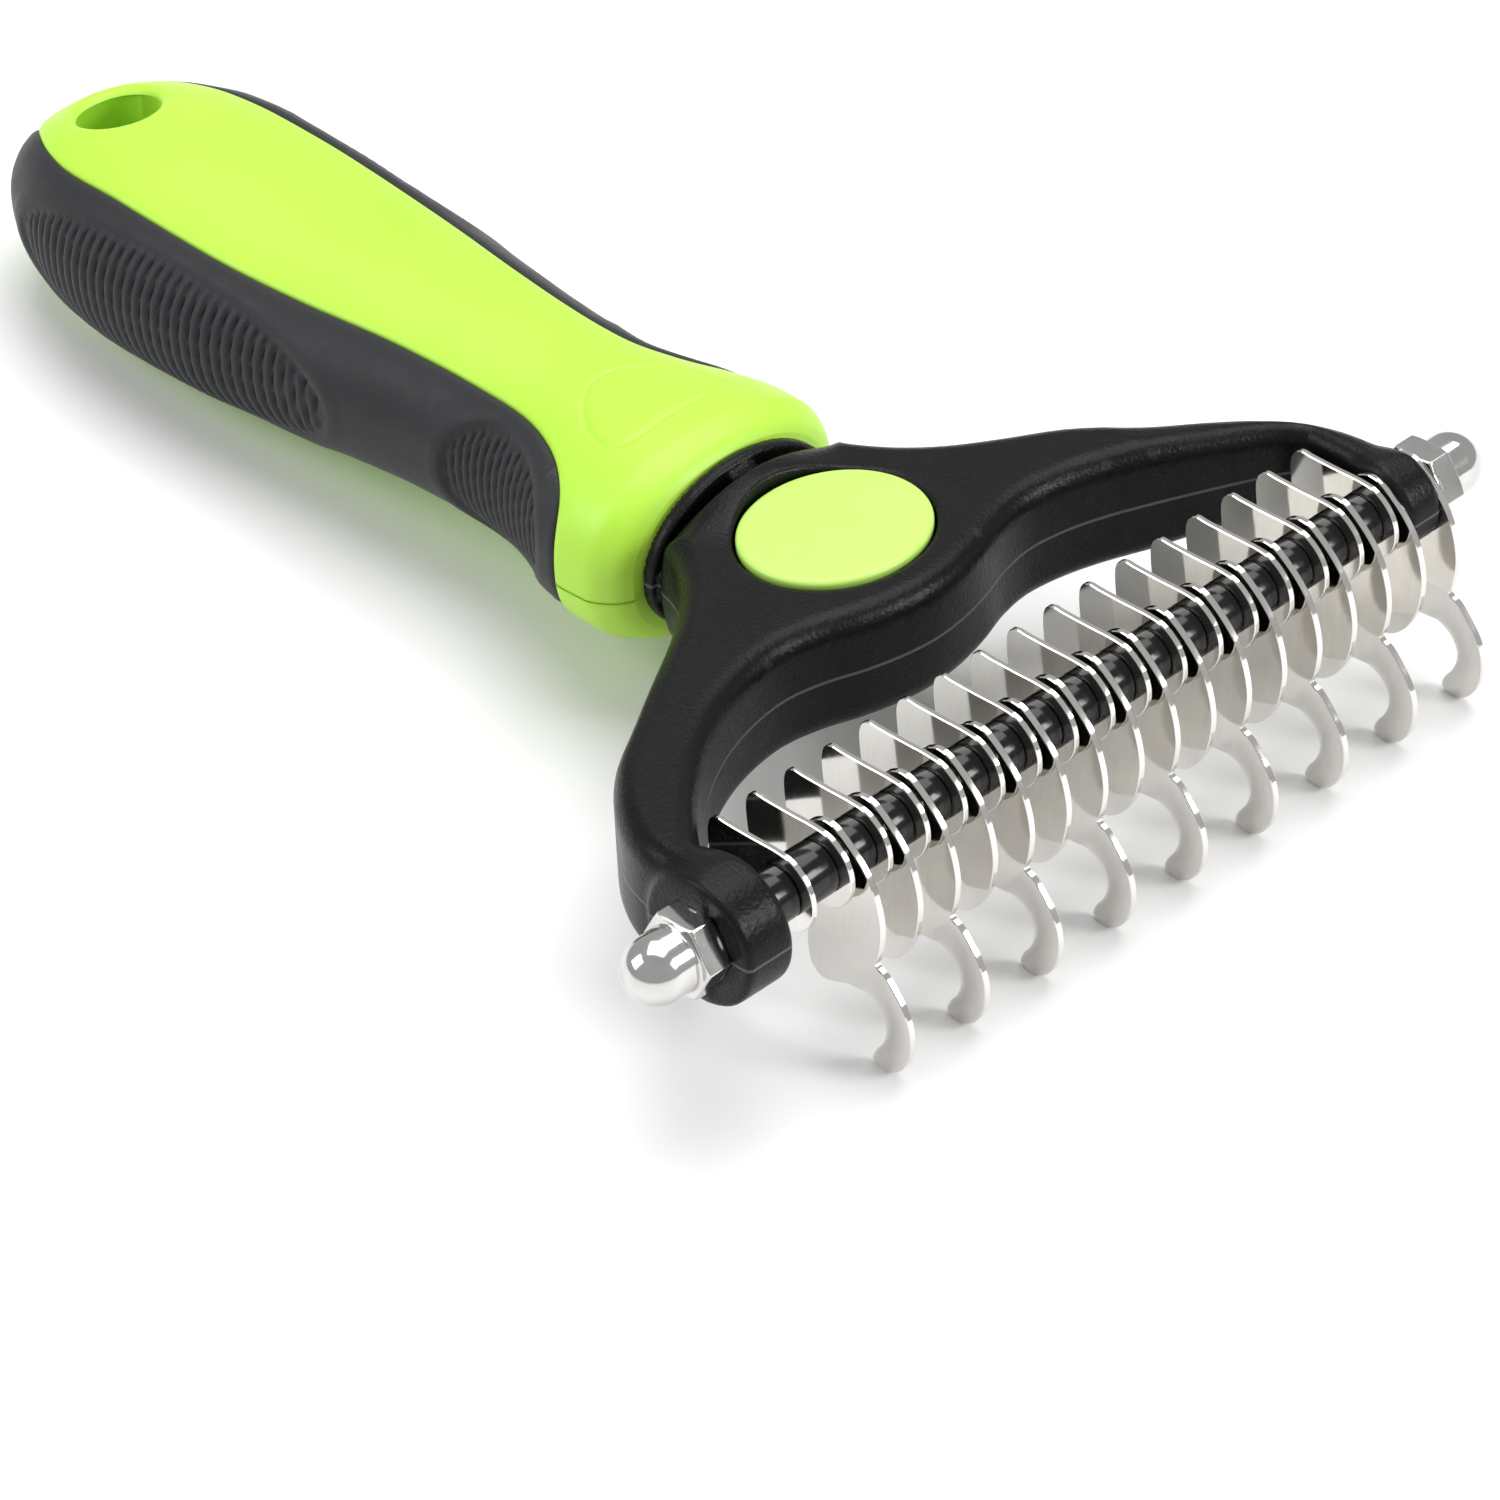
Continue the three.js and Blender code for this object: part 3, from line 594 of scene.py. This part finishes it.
def grip(name, node, side):
    P, T = grid(xs_grip, ang_grip)
    for lev in (0.0, 0.05, 0.15, 0.3, 0.5, 0.8):
        V, n = base(P)
        P, T = split(P, T, d_grip(V) - lev)
    V, n = base(P)
    f = d_grip(V)
    T = T[f[T].mean(1) > 0]
    P, T = tidy(P, T)
    V, n = base(P)
    T = orient(V, T, n)
    dg = d_grip(V)
    u = np.clip(1 - dg / 0.8, 0, 1)
    disp = -0.42 * (1 - np.sqrt(np.clip(1 - u * u, 0, 1)))
    disp += 0.10 * np.clip(dg / 1.5, 0, 1)
    x, z = V[:, 0], V[:, 2] - pchip(RAISE, V[:, 0])
    for cx, cz, px, pz, pitch, amp in PADS:
        uu, vv = (x - cx) / px, (z - cz) / pz
        # rounded-leaf outline: fuller than an ellipse along its length
        e = np.abs(uu) ** 2.3 + np.abs(vv) ** 2.1
        g = np.hypot(2.3 * np.abs(uu) ** 1.3 / px, 2.1 * np.abs(vv) ** 1.1 / pz)
        d = (1 - e) / np.maximum(g, 0.02)
        s = np.clip(d / 1.3, 0, 1)
        disp -= 0.85 * s * s * (3 - 2 * s)
        # a soft lip just outside the pad
        disp += 0.10 * np.exp(-((d + 0.7) / 0.6) ** 2)
        m = np.clip((d - 0.55) / 0.9, 0, 1)
        m = m * m * (3 - 2 * m)
        t = (x - cx) / pitch + 0.25 * (z - cz) / pitch * 0.35
        fr = t - np.floor(t)
        crest = np.sqrt(np.clip(1 - ((fr - 0.5) * 2) ** 2, 0, 1))
        disp += m * amp * (crest - 0.12)
    V2 = V + n * disp[:, None]
    thick = np.minimum(1.75, 0.45 * pchip(TOP_H, x) + 0.1)
    W = V - n * thick[:, None]
    k = side
    V2, W = V2 * [1, k, 1], W * [1, k, 1]
    if side < 0:
        T = T[:, ::-1]
    VV, FF = close_with(V2, T, W)
    return make(name, VV, FF, RUBBER, (node,), sharp=50)


grip("rubber_grip_far", "grip_right", 1)
grip("rubber_grip_near", "grip_left", -1)


# ---------------------------------------------------------------- surface nets for filleted solids
def nets(f, lo, hi, h, its=3):
    """Meshes f < 0 with one point a cell, then pulls each point on to the surface."""
    lo = np.array(lo, float)
    n = np.ceil((np.array(hi) - lo) / h).astype(int) + 1
    ax = [lo[i] + h * np.arange(n[i]) for i in range(3)]
    X, Y, Z = np.meshgrid(*ax, indexing="ij")
    D = f(X, Y, Z)
    S = D < 0
    c = sum(S[i:n[0] - 1 + i, j:n[1] - 1 + j, k:n[2] - 1 + k].astype(np.int8) for i in (0, 1) for j in (0, 1) for k in (0, 1))
    act = (c > 0) & (c < 8)
    idx = np.full(act.shape, -1)
    I, J, K = np.nonzero(act)
    idx[act] = np.arange(len(I))
    acc, cnt = np.zeros((len(I), 3)), np.zeros(len(I))
    for axis in range(3):
        for u in (0, 1):
            for v in (0, 1):
                a = [0, 0, 0]
                o = [q for q in range(3) if q != axis]
                a[o[0]], a[o[1]] = u, v
                b = list(a)
                b[axis] = 1
                da, db = D[I + a[0], J + a[1], K + a[2]], D[I + b[0], J + b[1], K + b[2]]
                cr = (da < 0) != (db < 0)
                t = np.where(cr, da / np.where(cr, da - db, 1), 0)
                p = np.array(a, float)[None, :].repeat(len(I), 0)
                p[:, axis] = t
                acc[cr] += p[cr]
                cnt[cr] += 1
    V = lo + h * (np.stack([I, J, K], 1) + acc / cnt[:, None])
    quads = []
    for axis in range(3):
        p, q = (axis + 1) % 3, (axis + 2) % 3
        sl0, sl1 = [slice(1, -1)] * 3, [slice(1, -1)] * 3
        sl0[axis], sl1[axis] = slice(0, -1), slice(1, None)
        s0, s1 = S[tuple(sl0)], S[tuple(sl1)]
        for a, b, flip in ((s0, ~s1, False), (~s0, s1, True)):
            w = np.argwhere(a & b)
            for r in range(3):
                if r != axis:
                    w[:, r] += 1
            ring = []
            for dp, dq in ((1, 1), (0, 1), (0, 0), (1, 0)):
                g = w.copy()
                g[:, p] -= dp
                g[:, q] -= dq
                ring.append(idx[g[:, 0], g[:, 1], g[:, 2]])
            Q = np.stack(ring, 1)
            quads.append(Q[:, ::-1] if flip else Q)
    Q = np.concatenate(quads)
    e = h * 0.08
    for _ in range(its):
        x, y, z = V.T
        d = f(x, y, z)
        g = np.stack([f(x + e, y, z) - f(x - e, y, z), f(x, y + e, z) - f(x, y - e, z), f(x, y, z + e) - f(x, y, z - e)], 1) / (2 * e)
        m = np.clip(d / np.maximum((g * g).sum(1), 0.2), -0.45 * h, 0.45 * h)
        V = V - g * m[:, None]
    return V, [Q]


def smin(a, b, k):
    h = np.maximum(k - np.abs(a - b), 0) / k
    return np.minimum(a, b) - h * h * k / 4


def smax(a, b, k):
    return -smin(-a, -b, k)


def rslab(d, t, half, r):
    """A rounded slab: plan distance d, height t from the middle."""
    a, b = d + r, np.abs(t) - half + r
    return np.minimum(np.maximum(a, b), 0) + np.hypot(np.maximum(a, 0), np.maximum(b, 0)) - r


def d_ell(y, z, a, b):
    k0 = np.hypot(y / a, z / b)
    k1 = np.hypot(y / (a * a), z / (b * b))
    return np.where(k0 < 1e-3, -np.minimum(a, b), k0 * (k0 - 1) / np.maximum(k1, 1e-6))


# ---------------------------------------------------------------- yoke
OUTER = [[-40.4, 11.3], [-38.6, 12.2], [-35.4, 14.4], [-32.2, 17.6], [-29.2, 21.8], [-25.8, 27.4], [-22.2, 33.2], [-18.9, 38.4], [-15.4, 42.0], [-11.6, 44.6], [-8.2, 45.9], [-4.8, 46.25]]
INNER = [[-16.4, 0], [-16.8, 4], [-17.8, 8], [-19.2, 12], [-19.9, 16], [-19.5, 20], [-18.4, 24], [-16.6, 28], [-13.9, 32.2], [-10.6, 36.2], [-7.8, 39.0]]
INNER_FAR = [[-16.4, 0], [-16.8, 4], [-17.8, 8], [-19.2, 12], [-19.9, 16], [-19.5, 20], [-18.4, 24], [-16.8, 28], [-14.9, 32.2], [-13.0, 36.2], [-11.2, 39.8], [-10.0, 41.5]]
OUTER_FAR = [[-40.4, 11.3], [-38.6, 12.2], [-35.4, 14.4], [-32.2, 17.6], [-29.2, 21.8], [-25.8, 27.0], [-20.8, 32.3], [-17.4, 37.2], [-14.4, 41.0], [-11.2, 43.9], [-8.0, 45.4], [-4.8, 46.1]]
near_out = smooth([[x, -y] for x, y in OUTER] + [[0.5, NEAR_OUT]], 4, False)
inner = smooth([[-5.0, NEAR_IN]] + [[x, -y] for x, y in INNER[::-1]] + INNER_FAR[1:] + [[-8.8, FAR_IN]], 4, False)
far_out = smooth([[0.5, FAR_OUT]] + OUTER_FAR[::-1], 4, False)
fork = np.vstack([near_out, [[1.0, NEAR_OUT]], [[1.0, NEAR_IN]], inner, [[1.0, FAR_IN]], [[1.0, FAR_OUT]], far_out])
G0, GH = np.array([-47.0, -51.0]), 0.15
gx, gy = G0[0] + GH * np.arange(374), G0[1] + GH * np.arange(681)
GX, GY = np.meshgrid(gx, gy, indexing="ij")
FORK = seg_dist(GX, GY, fork, True)
FORK = np.where(inside(GX, GY, fork), -FORK, FORK)


def d_fork(x, y):
    u, v = (x - G0[0]) / GH, (y - G0[1]) / GH
    uc, vc = np.clip(u, 0, len(gx) - 1.001), np.clip(v, 0, len(gy) - 1.001)
    i, j = uc.astype(int), vc.astype(int)
    a, b = uc - i, vc - j
    d = (FORK[i, j] * (1 - a) * (1 - b) + FORK[i + 1, j] * a * (1 - b) + FORK[i, j + 1] * (1 - a) * b + FORK[i + 1, j + 1] * a * b)
    return d + np.hypot(u - uc, v - vc) * GH


def yoke(x, y, z):
    r = np.hypot(x, z)
    s = np.clip((y - 29.0) / 17.0, 0, 1)
    d = rslab(d_fork(x, y), z, YOKE_H - (YOKE_H - FAR_R) * s, 2.3 - 0.6 * s)
    for br, y0, y1 in ((BOSS_R, NEAR_OUT, NEAR_IN), (FAR_R, FAR_IN, FAR_OUT)):
        d = smin(d, rslab(r - br, y - (y0 + y1) / 2, (y1 - y0) / 2, 0.55), 1.3)
    # shoulder: an oval neck that lofts into the fork
    s = np.clip((x + 40.4) / 10.2, 0, 1)
    s = s * s * (3 - 2 * s)
    a, b = 11.6 - 0.6 * s, 8.3 - 2.4 * s
    d = smin(d, rslab(d_ell(y, z - NECK_Z * (1 - s), a, b), x + 35.8, 4.6, 0.4), 2.2)
    d = np.minimum(d, rslab(d_ell(y, z - NECK_Z, 8.6 + 0 * y, 5.6 + 0 * y), x + 50.5, 10.5, 0.6))
    d = np.minimum(d, rslab(d_ell(y, z - NECK_Z, 12.0 + 0 * y, 8.6 + 0 * y), x + 42.4, 0.7, 0.3))
    for hy, hz in ((1.6, 7.8), (11.3, 1.5)):
        w = np.maximum(np.maximum(np.abs(x + 41.6) - 1.5, np.abs(y) - hy), np.abs(z - NECK_Z) - hz)
        d = np.minimum(d, w)
    # rod bore and badge pocket
    d = smax(d, BORE_R - r, 0.2)
    e = d_ell(x - BADGE_X, y, BADGE_P + 0.28 + 0 * y, BADGE_Q + 0.28 + 0 * y)
    pocket = np.maximum(e, 5.0 - z)
    return smax(d, -pocket, 0.5)


V, F = nets(yoke, (-61.9, -47.9, -9.7), (7.6, 47.3, 9.4), 0.40)
make("yoke_body", V, F, BLACK, ("yoke",), tol=1e-5)


# ---------------------------------------------------------------- badge
def rings(profile, n, px, py, cx):
    """Stacked ovals: profile rows are (inset, z)."""
    a = np.linspace(0, 2 * math.pi, n, endpoint=False)
    V = [np.stack([cx + (px - i) * np.cos(a), (py - i) * np.sin(a), np.full(n, z)], 1) for i, z in profile]
    V = np.vstack(V)
    k = len(profile)
    j = np.arange(n)
    F = [np.stack([r * n + j, r * n + (j + 1) % n, (r + 1) * n + (j + 1) % n, (r + 1) * n + j], 1) for r in range(k - 1)]
    return V, np.concatenate(F)


prof = [(8.5, 5.35), (4.0, 5.35), (0.25, 5.35), (0.0, 5.55), (0.0, 6.25)]
prof += [(0.62 * (1 - math.cos(t)), 6.25 + 0.52 * math.sin(t)) for t in np.linspace(0.2, math.pi / 2, 8)]
prof += [(0.9, 6.785), (1.4, 6.795), (2.4, 6.8), (4.4, 6.8), (6.8, 6.8), (8.5, 6.8)]
V, Q = rings(prof, 128, BADGE_P, BADGE_Q, BADGE_X)
m = len(prof)
V = np.vstack([V, [[BADGE_X, 0, 5.35], [BADGE_X, 0, 6.8]]])
j = np.arange(128)
c0, c1 = len(V) - 2, len(V) - 1
caps = np.concatenate([np.stack([(j + 1) % 128, j, np.full(128, c0)], 1), np.stack([(m - 1) * 128 + j, (m - 1) * 128 + (j + 1) % 128, np.full(128, c1)], 1)])
make("oval_badge", V, [Q, caps], BADGE, ("badge",), sharp=60)


# ---------------------------------------------------------------- dome nuts
def nut(x, y, z):
    """Seat at y = 0, dome toward +y."""
    r = np.hypot(x, z)
    a = 4.4 * math.cos(math.pi / 6)
    ax, az = np.abs(x), np.abs(z)
    hexa = np.maximum(az, ax * 0.8660254 + az * 0.5) - a
    h = smax(hexa, np.abs(y - 1.4) - 1.4, 0.12)
    h = smax(h, (r - 4.05) * 0.5 + (np.abs(y - 1.4) - 1.4) * 0.866, 0.12)
    neck = rslab(r - 3.3, y - 2.6, 2.6, 0.05)
    # dome: a spheroid cap on a short cylinder
    dome = np.where(y < 5.0, np.maximum(r - 3.3, 0.5 - y), d_ell(r, y - 5.0, 3.3 + 0 * r, 3.5 + 0 * r))
    d = smin(h, np.minimum(neck, dome), 0.25)
    # shallow washer face under the hexagon
    d = np.minimum(d, rslab(r - 3.9, y - 0.2, 0.2, 0.05))
    return np.maximum(d, -np.maximum(r - 2.05, y - 5.9))


NV, NF = nets(nut, (-4.8, -0.35, -4.8), (4.8, 8.8, 4.8), 0.13)
Y_NUT_R = Y_R1 + PITCH * (N - 1) + R_TO_F + T_F / 2
make("dome_nut_far", NV + [0, Y_NUT_R, 0], NF, NICKEL, ("cap_nut_right",), body="right_nut", tol=1e-5)
make("dome_nut_near", NV * [1, -1, 1] + [0, NEAR_OUT, 0], [NF[0][:, ::-1]], NICKEL, ("cap_nut_left",), body="left_nut", tol=1e-5)


# ---------------------------------------------------------------- blades
LV = math.radians(3.5)


def level(P):
    x, z = P[:, 0], P[:, 1]
    return np.stack([x * math.cos(LV) + z * math.sin(LV), -x * math.sin(LV) + z * math.cos(LV)], 1)


COMB = [[-9.2, 1.2], [-9.15, 2.4], [-8.75, 3.3], [-7.9, 3.75], [-6.9, 3.75], [-4.0, 3.9], [-0.3, 4.15], [1.2, 3.98], [2.6, 3.2], [3.7, 1.9], [4.15, 0.2], [3.95, -1.3], [3.1, -2.8], [1.6, -3.85], [-0.4, -4.15],
        [-2.6, -4.6], [-4.6, -6.0], [-6.2, -8.2], [-7.2, -8.3], [-7.9, -6.6], [-8.5, -3.4]]
BELLY = [[-3.85, -0.6], [-3.75, 1.0], [-3.1, 2.4], [-2.0, 3.5], [-0.7, 4.1], [0.7, 3.95], [2.4, 2.9], [4.0, 1.5], [5.3, -0.2], [6.2, -2.4], [6.6, -4.6], [6.5, -6.6]]
ARM = [[6.2, -8.1], [5.9, -8.9], [7.1, -9.5], [8.4, -10.8], [9.6, -12.3], [10.3, -13.9], [10.5, -15.6], [10.3, -17.2], [9.5, -18.9], [8.3, -20.1], [7.1, -20.5], [6.2, -20.3], [5.7, -19.8], [5.9, -18.9],
       [6.7, -17.7], [7.15, -16.4], [7.1, -15.2], [6.6, -14.2], [5.7, -13.4], [4.4, -12.95], [2.8, -13.0], [1.0, -13.7], [-0.6, -14.2], [-2.0, -13.4], [-2.6, -11.2], [-2.6, -7.0], [-3.3, -3.0]]
PLAIN = BELLY + [[6.2, -8.2], [5.5, -9.9], [4.4, -11.5], [2.9, -12.7], [1.0, -13.2], [-0.8, -12.7], [-2.0, -11.2], [-2.6, -8.6], [-3.3, -3.0]]


def blade(points, t, hole, ground=None, sub=5):
    """A stamped plate: smooth outline, broken edges, and a ground bevel where ground(x, z) > 0."""
    P = smooth(points, sub)
    area = 0.5 * np.sum(P[:, 0] * np.roll(P[:, 1], -1) - np.roll(P[:, 0], -1) * P[:, 1])
    if area < 0:
        P = P[::-1]
    d = np.roll(P, -1, 0) - np.roll(P, 1, 0)
    nrm = np.stack([d[:, 1], -d[:, 0]], 1) / np.linalg.norm(d, axis=1)[:, None]
    g = ground(P) if ground is not None else np.zeros(len(P))
    inset = 0.09 + 0.75 * g
    drop = 0.09 + (t / 2 - 0.17) * g
    m = len(P)
    a = np.linspace(0, 2 * math.pi, 48, endpoint=False)
    H = np.stack([np.cos(a), np.sin(a)], 1)
    outer, cap, bore, bcap = P, P - nrm * inset[:, None], H * hole, H * (hole + 0.08)
    pts2 = np.vstack([cap, bcap])
    edges = [(i, (i + 1) % m) for i in range(m)] + [(m + i, m + (i + 1) % 48) for i in range(48)]
    vv, _, ff, *_ = delaunay_2d_cdt([Vector(p) for p in pts2], edges, [], 0, 1e-7)
    vv = np.array([[v[0], v[1]] for v in vv])
    ff = np.array([f for f in ff if len(f) == 3])
    c = vv[ff].mean(1)
    ok = inside(c[:, 0], c[:, 1], cap) & (np.hypot(c[:, 0], c[:, 1]) > hole + 0.079)
    ff = ff[ok]
    # plan to 3-D, y across the thickness
    def at(Q, y):
        L = level(Q)
        return np.stack([L[:, 0], np.full(len(L), 1.0) * y, L[:, 1]], 1)
    h = t / 2
    V = np.vstack([at(vv, -h), at(vv, h), at(outer, -(h - drop)), at(outer, h - drop), at(cap, -h), at(cap, h),
                   at(bore, -(h - 0.08)), at(bore, h - 0.08), at(bcap, -h), at(bcap, h)])
    k = len(vv)
    o0, o1, q0, q1 = 2 * k, 2 * k + m, 2 * k + 2 * m, 2 * k + 3 * m
    b0 = 2 * k + 4 * m
    b1, p0, p1 = b0 + 48, b0 + 96, b0 + 144
    i = np.arange(m)
    j = (i + 1) % m
    bi = np.arange(48)
    bj = (bi + 1) % 48
    F = [ff, ff[:, ::-1] + k]
    F.append(np.stack([q0 + i, q0 + j, o0 + j, o0 + i], 1)[:, ::-1])
    F.append(np.stack([o0 + i, o0 + j, o1 + j, o1 + i], 1)[:, ::-1])
    F.append(np.stack([o1 + i, o1 + j, q1 + j, q1 + i], 1)[:, ::-1])
    F.append(np.stack([p0 + bi, p0 + bj, b0 + bj, b0 + bi], 1))
    F.append(np.stack([b0 + bi, b0 + bj, b1 + bj, b1 + bi], 1))
    F.append(np.stack([b1 + bi, b1 + bj, p1 + bj, p1 + bi], 1))
    return V, F


def ground_hook(P):
    """The concave inner edge of the hook is ground to a blade."""
    x, z = P[:, 0], P[:, 1]
    d = seg_dist(x, z, [[5.9, -18.9], [6.7, -17.7], [7.15, -16.4], [7.1, -15.2], [6.6, -14.2], [5.7, -13.4], [4.4, -12.95]])
    s = np.clip(1 - d / 0.9, 0, 1)
    return s * s * (3 - 2 * s)


def fix(V, F):
    """Turns every face outward by the solid's signed volume."""
    Vw, Fw = weld(V, F)
    vol = 0.0
    for f in Fw:
        tris = [f] if f.shape[1] == 3 else [f[:, [0, 1, 2]], f[:, [0, 2, 3]]]
        for t in tris:
            vol += np.einsum("ij,ij->i", Vw[t[:, 0]], np.cross(Vw[t[:, 1]], Vw[t[:, 2]])).sum()
    return V, ([f[:, ::-1] for f in F] if vol < 0 else F)


comb = fix(*blade(COMB, T_R, HOLE_R))
hooked = fix(*blade(BELLY + ARM, T_F, BORE_R, ground_hook))
plain = fix(*blade(PLAIN, T_F, BORE_R))
for k in range(1, N + 1):
    yR = Y_R1 + PITCH * (k - 1)
    yF = yR + R_TO_F
    nn = "%02d" % k
    make("comb_blade_" + nn, comb[0] + [0, yR, 0], comb[1], STEEL, ("comb_plate_" + nn,), sharp=28)
    v, f = hooked if k % 2 else plain
    node = ("rake_hook_" if k % 2 else "rake_plate_") + nn
    make("rake_blade_" + nn, v + [0, yF, 0], f, STEEL, (node,), sharp=28)


# ---------------------------------------------------------------- spacers
def lathe(profile, n=48):
    """Closed ring about the Y axis; profile rows are (radius, y)."""
    a = np.linspace(0, 2 * math.pi, n, endpoint=False)
    V = np.vstack([np.stack([r * np.cos(a), np.full(n, y), r * np.sin(a)], 1) for r, y in profile])
    m = len(profile)
    j = np.arange(n)
    F = [np.stack([r * n + j, r * n + (j + 1) % n, ((r + 1) % m) * n + (j + 1) % n, ((r + 1) % m) * n + j], 1) for r in range(m)]
    return fix(V, [np.concatenate(F)])


def spacer(length, nose):
    e = 0.28
    arc = [(e * (1 - math.cos(t)), e * (1 - math.sin(t))) for t in np.linspace(0, math.pi / 2, 5)]
    P = [(BORE_R, 0.0)]
    P += [(SPACER_R - dx, dy) for dx, dy in arc[::-1]]
    P += [(SPACER_R - dx, length - dy) for dx, dy in arc]
    if nose > 0:
        P += [(NOSE_R, length), (NOSE_R, length + nose - 0.1), (NOSE_R - 0.1, length + nose)]
        P += [(BORE_R, length + nose)]
    else:
        P += [(BORE_R, length)]
    return lathe(P)


NOSE = (R_TO_F - PITCH) - T_F / 2 + T_R / 2
rows = [(NEAR_IN, Y_R1 - T_R / 2 - NEAR_IN, 0.0), (Y_R1 + T_R / 2, PITCH - T_R, NOSE)]
for k in range(2, 17):
    y0 = Y_R1 + PITCH * (k - 2) + R_TO_F + T_F / 2
    rows.append((y0, Y_R1 + PITCH * k - T_R / 2 - y0, NOSE))
for i, (y0, L, nose) in enumerate(rows):
    v, f = spacer(L, nose)
    make("axle_spacer_%02d" % i, v + [0, y0, 0], f, GLOSS, ("spacer_%02d" % i,), sharp=40)

# the rod keeps its CAD shape
rod = frame["nodes"]["axle_rod"]
for s in rod.material_slots:
    s.material = NICKEL

# ---------------------------------------------------------------- stage, light, camera
me = bpy.data.meshes.new("floor")
R = 4.0
me.from_pydata([(-R, -R, 0), (R, -R, 0), (R, R, 0), (-R, R, 0)], [], [(0, 1, 2, 3)])
floor = bpy.data.objects.new("floor", me)
bpy.context.scene.collection.objects.link(floor)
fm = Mat("pale_floor").set(Metallic=0.0, Roughness=0.55)
fm.b.inputs["Specular IOR Level"].default_value = 0.25
fm.out(fm.ramp(fm.noise(3, 3), [(0.3, (0.86, 0.86, 0.86)), (0.7, (0.88, 0.88, 0.88))]))
me.materials.append(fm.m)

w = bpy.data.worlds.new("studio")
bpy.context.scene.world = w
w.use_nodes = True
w.node_tree.nodes["Background"].inputs[0].default_value = (1.0, 1.0, 1.0, 1)
w.node_tree.nodes["Background"].inputs[1].default_value = 0.50


def area(name, at, target, sx, sy, power, color=(1, 1, 1)):
    L = bpy.data.lights.new(name, "AREA")
    L.shape, L.size, L.size_y, L.energy, L.color = "RECTANGLE", sx, sy, power, color
    o = bpy.data.objects.new(name, L)
    bpy.context.scene.collection.objects.link(o)
    o.location = at
    o.rotation_mode = "QUATERNION"
    o.rotation_quaternion = (Vector(target) - Vector(at)).to_track_quat("-Z", "Y")
    return o


area("top_softbox", (-0.15, 0.25, 0.95), (0.0, 0.0, 0.0), 0.9, 0.9, 9.0)
area("left_softbox", (-0.55, -0.75, 0.65), (0.0, 0.0, 0.01), 0.6, 0.6, 5.0)
area("right_softbox", (0.85, 0.45, 0.6), (0.02, 0.0, 0.01), 0.36, 0.36, 6.0)

vs = bpy.context.scene.view_settings
vs.view_transform = "Standard"
vs.look = "None"

cd = bpy.data.cameras.new("camera")
cam = bpy.data.objects.new("camera", cd)
bpy.context.scene.collection.objects.link(cam)
cd.sensor_width = 36.0
cd.sensor_fit = "HORIZONTAL"
cd.lens = 8845.0 / 1500.0 * 36.0
cd.clip_start, cd.clip_end = 0.05, 20.0
BETA = TH + LV
CB, SB = math.cos(BETA), math.sin(BETA)


def turned(v):
    return Vector((v[0] * CB + v[2] * SB, v[1], -v[0] * SB + v[2] * CB))


cam.location = turned((0.42572, -0.46257, 0.50259)) + Vector((OX, OY, OZ))
cam.rotation_mode = "QUATERNION"
right, up, back = turned((0.7041, 0.7101, 0.0)), turned((-0.4463, 0.4425, 0.7778)), turned((0.5523, -0.5477, 0.6285))
cam.rotation_quaternion = Matrix((right, up, back)).transposed().to_quaternion()
bpy.context.scene.camera = cam
